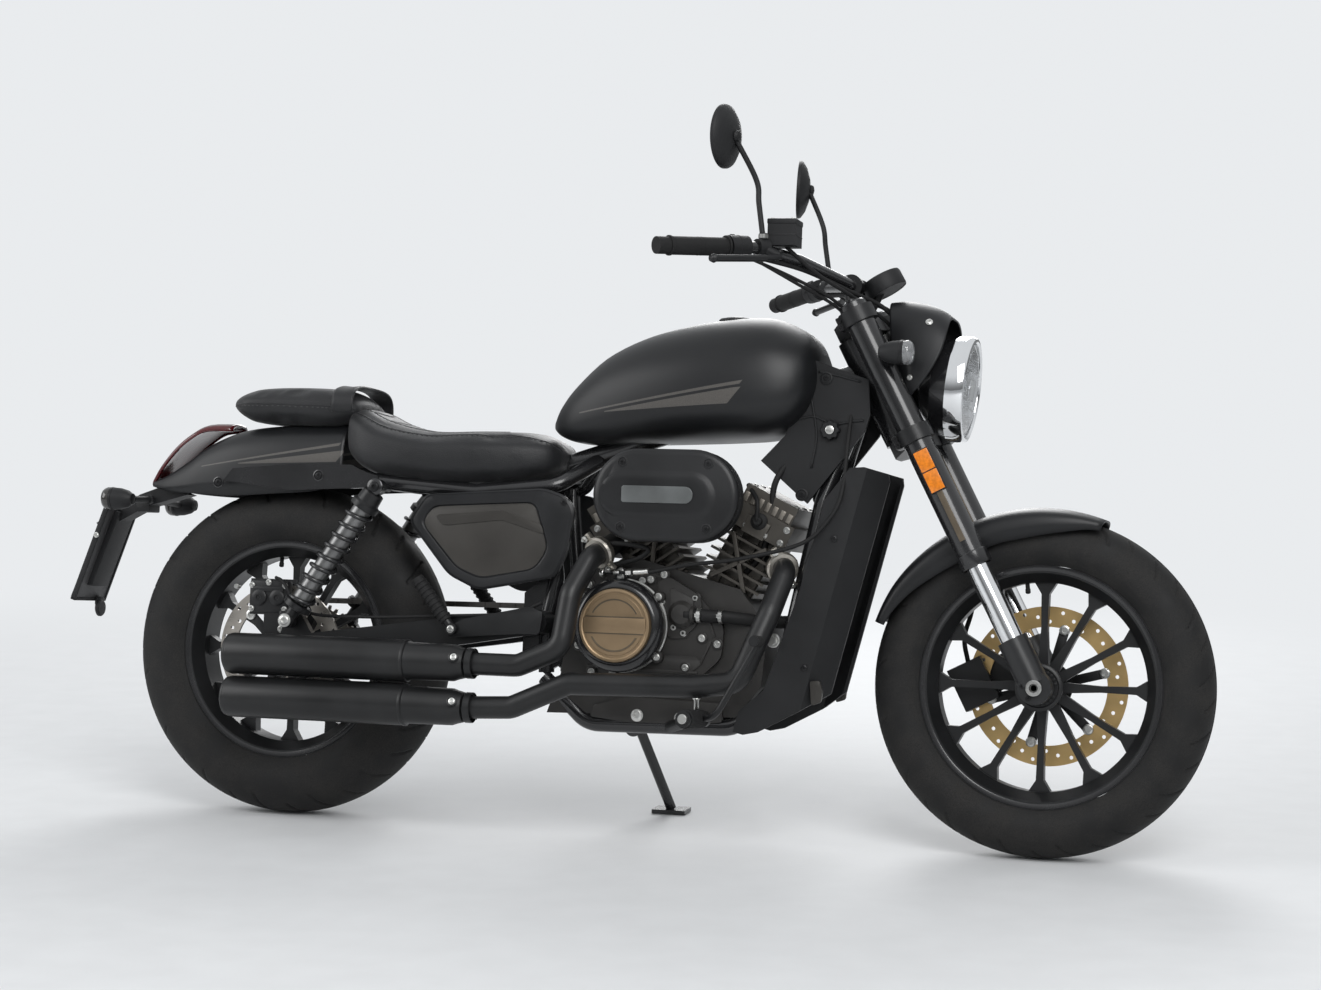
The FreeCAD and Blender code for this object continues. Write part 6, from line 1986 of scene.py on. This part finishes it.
def shock_springs():
    """Coils of the rear dampers, with their seats and eyes."""
    springs, eyes = Shape(), Shape()
    for side in SIDES:
        top, foot = shock_ends(side)
        line = (top - foot).normalized()
        length = (top - foot).length
        place = aimed(foot, line)
        springs.tube(helix(place, 23, 43, length - 92, 9, 24), 4.2, 10, 1)
        eyes.rod(foot, top, 13.0, 28)
        eyes.lathe([(18, 34), (27, 34.6), (27, 41.4), (18, 42)], place, 40)
        seat = [(18, 48), (27, 47.4), (27, 38.6), (21, 38), (21, 13), (19, 12), (13, 12)]
        eyes.lathe([(radius, length - down) for radius, down in seat], place, 40)
        for spot, out in ((top, 96), (foot, 128)):
            eyes.rod(spot - LEFT * 12, spot + LEFT * 12, 15.0, 32)
            eyes.rod((spot.x, side * out, spot.z), spot + LEFT * (side * 16), 7.0, 20)
    springs.done("shock_coils", "frame", "frame_paint", GLOSS, (), 0)
    eyes.done("shock_eyes", "frame", "frame_paint", CAST, ["shocks"])


def by_angle(outline, middle, count):
    """Points of an outline at even angles about a middle."""
    points = []
    corners = [Vector(corner) for corner in outline]
    for k in range(count):
        angle = 2 * math.pi * k / count
        ray = Vector((math.cos(angle), math.sin(angle)))
        best = None
        for i, corner in enumerate(corners):
            edge = corners[(i + 1) % len(corners)] - corner
            cross = ray.x * edge.y - ray.y * edge.x
            if abs(cross) < 1e-9:
                continue
            away = corner - middle
            reach = (away.x * edge.y - away.y * edge.x) / cross
            share = (away.x * ray.y - away.y * ray.x) / cross
            if reach > 0 and -1e-6 <= share <= 1 + 1e-6 and (best is None or reach > best):
                best = reach
        points.append(middle + ray * best)
    return points


def side_panels():
    """Side covers: a raised frame round a sunk, creased panel."""
    middle = Vector((448, 552))
    outline = by_angle(rounded(SIDE_VIEW, 16.0), middle, 120)
    opening = by_angle(rounded(SIDE_INSET, 18.0), middle, 120)
    # ring, share by which it is drawn in, distance from the middle of the bike
    rows = [
        (outline, 0.0, 122.4), (outline, 0.0, 131.6), (outline, 0.025, 133.6), (opening, -0.02, 134.0),
        (opening, 0.0, 133.2), (opening, 0.02, 130.2), (opening, 0.98, 130.2),
    ]
    for side, hand in HANDS:
        panel = Shape()
        rings = []
        for ring, shrink, y in rows:
            kept = 1 - shrink
            drawn_in = [
                (middle.x + (p.x - middle.x) * kept, middle.y + (p.y - middle.y) * kept) for p in ring
            ]
            rings.append([Vector((x, side * y, z)) for x, z in drawn_in])
        panel.skin(rings)
        panel.rod((440, side * 94, 630), (440, side * 124, 630), 8.0, 20)
        panel.done("side_panel_" + hand, "frame", "matte_paint", PLAIN_PAINT, ["side_covers"])


def chain_links():
    """Rollers between pairs of plates round both sprockets."""
    big, small = CHAIN_REAR_RADIUS, CHAIN_FRONT_RADIUS
    gap = CHAIN_FRONT - REAR_AXLE
    tilt = math.atan2(gap.z, gap.x)
    spread = math.acos((big - small) / gap.length)
    path = []
    for k in range(61):
        angle = tilt + spread + (2 * math.pi - 2 * spread) * k / 60
        path.append(REAR_AXLE + Vector((math.cos(angle), 0, math.sin(angle))) * big)
    for k in range(31):
        angle = tilt - spread + 2 * spread * k / 30
        path.append(CHAIN_FRONT + Vector((math.cos(angle), 0, math.sin(angle))) * small)
    path.append(path[0])
    lengths = [0.0]
    for here, there in zip(path, path[1:]):
        lengths.append(lengths[-1] + (there - here).length)
    count = 2 * round(lengths[-1] / CHAIN_PITCH / 2)
    spots = []
    index = 0
    for k in range(count + 1):
        goal = lengths[-1] * k / count
        while index < len(lengths) - 2 and lengths[index + 1] < goal:
            index += 1
        share = (goal - lengths[index]) / (lengths[index + 1] - lengths[index])
        spots.append(path[index] + (path[index + 1] - path[index]) * share)
    links = Shape()
    for k, (here, there) in enumerate(zip(spots, spots[1:])):
        half = 8.2 if k % 2 else 6.4
        centre = (here + there) / 2 + LEFT * CHAIN_MIDDLE
        place = aimed(centre, LEFT, there - here)
        reach = (there - here).length / 2
        for low in (-half, half - 1.8):
            links.box((-reach - 3, -5.4, low), (reach + 3, 5.4, low + 1.8), place)
        spot = here + LEFT * CHAIN_MIDDLE
        links.lathe([(4.6, -6.2), (4.6, 6.2)], aimed(spot, LEFT), 8, caps=True)
    links.done("chain_links", "frame", "chain_steel", CHAIN, ["drive_chain"])


PEG_BRACKET = [(520, 372), (560, 372), (566, 414), (540, 424), (408, 396), (372, 376), (380, 360)]
BRAKE_HOSE = [
    (-26, 70, 488), (-40, 74, 440), (-44, 80, 330), (-60, 84, 210), (-104, 80, 150), (-118, 76, 104)
]


def peg_and_hose():
    """Folded passenger's pegs on their brackets, and the front brake hose with its clip."""
    pegs, sleeves = Shape(), Shape()
    for side in SIDES:
        hinge, tip = passenger_peg(side)
        pegs.plate(PEG_BRACKET, side * 149.0, side * 155.0, 1.2, None, 6.0)
        pegs.rod((386, side * 150, 376), (386, side * 164, 376), 11.0, 28)
        pegs.rod(hinge, tip, 9.0, 24)
        sleeves.rod(hinge + (tip - hinge) * 0.16, tip, 12.0, 28)
    pegs.done("passenger_peg_hinges", "frame", "black_cast", CAST)
    sleeves.done("passenger_peg_rubbers", "frame", "rubber", RUBBER)
    hose = Shape().tube([in_fork(*point) for point in BRAKE_HOSE], 4.5, 14, 10)
    hose.done("front_brake_hose", "fork", "rubber", RUBBER, (), 0)
    clip = Shape().rod(in_fork(-44, 80, 318), in_fork(-44, 80, 334), 6.2, 20)
    clip.rod(in_fork(-44, 80, 326), in_fork(-6, 104, 326), 3.0, 14)
    clip.done("brake_hose_clip", "fork", "bright_steel", STEEL)


def rear_trim():
    """Backing of the number plate."""
    back = Shape().plate([(-394, 586), (-382, 582), (-438, 432), (-452, 434)], -34, 34, 1.5)
    back.done("plate_backing", "frame", "black_plastic", PLASTIC)


for make in (
    blinker_pods, mirror_heads, leg_details, case_covers, cylinder_ribs, oval_cleaner, silencers,
    shock_springs, side_panels, peg_and_hose, rear_trim, chain_links,
):
    make()

# Finishes of the pieces that keep their solid
KEPT = {
    "front_wheel": CAST, "rear_wheel": CAST, "rear_sprocket": DISC, "fork_tubes": GLOSS,
    "fork_sliders": SLIDER, "front_axle": STEEL, "handlebar": GLOSS, "triple_clamps": CAST, "grips": RUBBER,
    "bar_controls": PLASTIC, "headlight_shell": GLOSS, "gauge": PLASTIC, "front_caliper": CAST,
    "swingarm": CAST, "frame_spine": GLOSS, "frame_cradles": GLOSS, "crankcase": ENGINE,
    "cylinder_front": HEADS, "cylinder_rear": HEADS, "clutch_cover": ENGINE, "generator_cover": ENGINE,
    "exhaust_headers": HEAT, "radiator": CAST, "radiator_shroud": PLASTIC, "rear_caliper": CAST,
    "tail_rails": GLOSS, "plate_holder": PLASTIC, "neck_covers": PLASTIC, "footrests": CAST,
    "side_stand": GLOSS,
}
for name, material in KEPT.items():
    surfaces = frame["nodes"][name].data.materials
    surfaces.clear()
    surfaces.append(material)

# Camera: its place in metres, its yaw, pitch and roll in radians
CAMERA_PLACE = Vector((1.4735, -4.8905, 0.9583))
CAMERA_YAW, CAMERA_PITCH, CAMERA_ROLL = -0.2805, -0.0623, 0.0071
LENS = 71.9
SENSOR_WIDTH = 36.0
BACKDROP = (0.86, 0.88, 0.9, 1)
BACKDROP_LEVEL = 0.95


def photo_camera():
    """The camera, turned by its yaw, then its pitch, then its roll."""
    right = Vector((math.cos(CAMERA_YAW), -math.sin(CAMERA_YAW), 0))
    level = Vector((math.sin(CAMERA_YAW), math.cos(CAMERA_YAW), 0))
    ahead = level * math.cos(CAMERA_PITCH) + UP * math.sin(CAMERA_PITCH)
    up = right.cross(ahead)
    rolled = right * math.cos(CAMERA_ROLL) + up * math.sin(CAMERA_ROLL)
    above = up * math.cos(CAMERA_ROLL) - right * math.sin(CAMERA_ROLL)
    data = bpy.data.cameras.new("photo_camera")
    data.lens = LENS
    data.sensor_width = SENSOR_WIDTH
    camera = bpy.data.objects.new("photo_camera", data)
    turn = Matrix((rolled, above, -ahead)).transposed()
    camera.matrix_world = Matrix.Translation(CAMERA_PLACE) @ turn.to_4x4()
    bpy.context.scene.collection.objects.link(camera)
    bpy.context.scene.camera = camera


def floor():
    """Pale ground that fades into the pale backdrop with distance."""
    mesh = bpy.data.meshes.new("floor")
    reach = 40.0
    mesh.from_pydata(
        [(-reach, -reach, 0), (reach, -reach, 0), (reach, reach, 0), (-reach, reach, 0)], [], [(0, 1, 2, 3)]
    )
    slab = bpy.data.objects.new("floor", mesh)
    bpy.context.scene.collection.objects.link(slab)
    material = finish("pale_floor", (0.72, 0.73, 0.74), 0.7, grain=0.01, depth=0.0001, vary=0.02)
    tree = material.node_tree
    place = tree.nodes.new("ShaderNodeTexCoord").outputs["Object"]
    away = tree.nodes.new("ShaderNodeVectorMath")
    away.operation = "LENGTH"
    tree.links.new(place, away.inputs[0])
    share = tree.nodes.new("ShaderNodeMapRange")
    share.interpolation_type = "SMOOTHSTEP"
    share.inputs["From Min"].default_value = 1.5
    share.inputs["From Max"].default_value = 5.0
    tree.links.new(away.outputs["Value"], share.inputs["Value"])
    seen = tree.nodes.new("ShaderNodeMath")
    seen.operation = "MULTIPLY"
    tree.links.new(share.outputs[0], seen.inputs[0])
    tree.links.new(tree.nodes.new("ShaderNodeLightPath").outputs["Is Camera Ray"], seen.inputs[1])
    haze = tree.nodes.new("ShaderNodeEmission")
    haze.inputs["Color"].default_value = BACKDROP
    haze.inputs["Strength"].default_value = BACKDROP_LEVEL
    blend = tree.nodes.new("ShaderNodeMixShader")
    tree.links.new(seen.outputs[0], blend.inputs[0])
    tree.links.new(tree.nodes["Principled BSDF"].outputs[0], blend.inputs[1])
    tree.links.new(haze.outputs[0], blend.inputs[2])
    tree.links.new(blend.outputs[0], tree.nodes["Material Output"].inputs[0])
    mesh.materials.append(material)


def soft_light(name, place, target, size, power_watts, colour=(1, 1, 1)):
    """A rectangular lamp that faces a target."""
    data = bpy.data.lights.new(name, "AREA")
    data.shape = "RECTANGLE"
    data.size, data.size_y = size
    data.energy = power_watts
    data.color = colour
    lamp = bpy.data.objects.new(name, data)
    lamp.matrix_world = aimed(place, Vector(place) - Vector(target))
    bpy.context.scene.collection.objects.link(lamp)


def surroundings():
    """Pale backdrop; the gloss sees a room that is bright above and dim near the ground."""
    world = bpy.data.worlds.new("studio")
    bpy.context.scene.world = world
    world.use_nodes = True
    tree = world.node_tree
    back = tree.nodes["Background"]
    back.inputs["Color"].default_value = BACKDROP
    path = tree.nodes.new("ShaderNodeLightPath")
    direction = tree.nodes.new("ShaderNodeSeparateXYZ")
    tree.links.new(tree.nodes.new("ShaderNodeTexCoord").outputs["Generated"], direction.inputs[0])
    room = tree.nodes.new("ShaderNodeMapRange")
    room.interpolation_type = "SMOOTHSTEP"
    room.inputs["From Min"].default_value = -0.05
    room.inputs["From Max"].default_value = 0.55
    room.inputs["To Min"].default_value = 0.16
    room.inputs["To Max"].default_value = 0.85
    tree.links.new(direction.outputs[2], room.inputs["Value"])
    level = 0.55
    for ray, source in (
        ("Is Glossy Ray", room.outputs[0]), ("Is Camera Ray", BACKDROP_LEVEL),
        ("Is Transmission Ray", BACKDROP_LEVEL),
    ):
        choice = tree.nodes.new("ShaderNodeMix")
        tree.links.new(path.outputs[ray], choice.inputs[0])
        for index, number in ((2, level), (3, source)):
            if isinstance(number, bpy.types.NodeSocket):
                tree.links.new(number, choice.inputs[index])
            else:
                choice.inputs[index].default_value = number
        level = choice.outputs[0]
    tree.links.new(level, back.inputs["Strength"])


photo_camera()
floor()
surroundings()
soft_light("key", (2.5, -4.5, 4.2), (0, 0, 0.5), (4.0, 3.0), 215)
soft_light("fill", (-4.5, -2.5, 2.6), (0, 0, 0.5), (3.0, 3.0), 90)
soft_light("behind", (-0.5, 4.5, 3.2), (0, 0, 0.6), (4.0, 2.0), 130)
bpy.context.scene.view_settings.view_transform = "Standard"
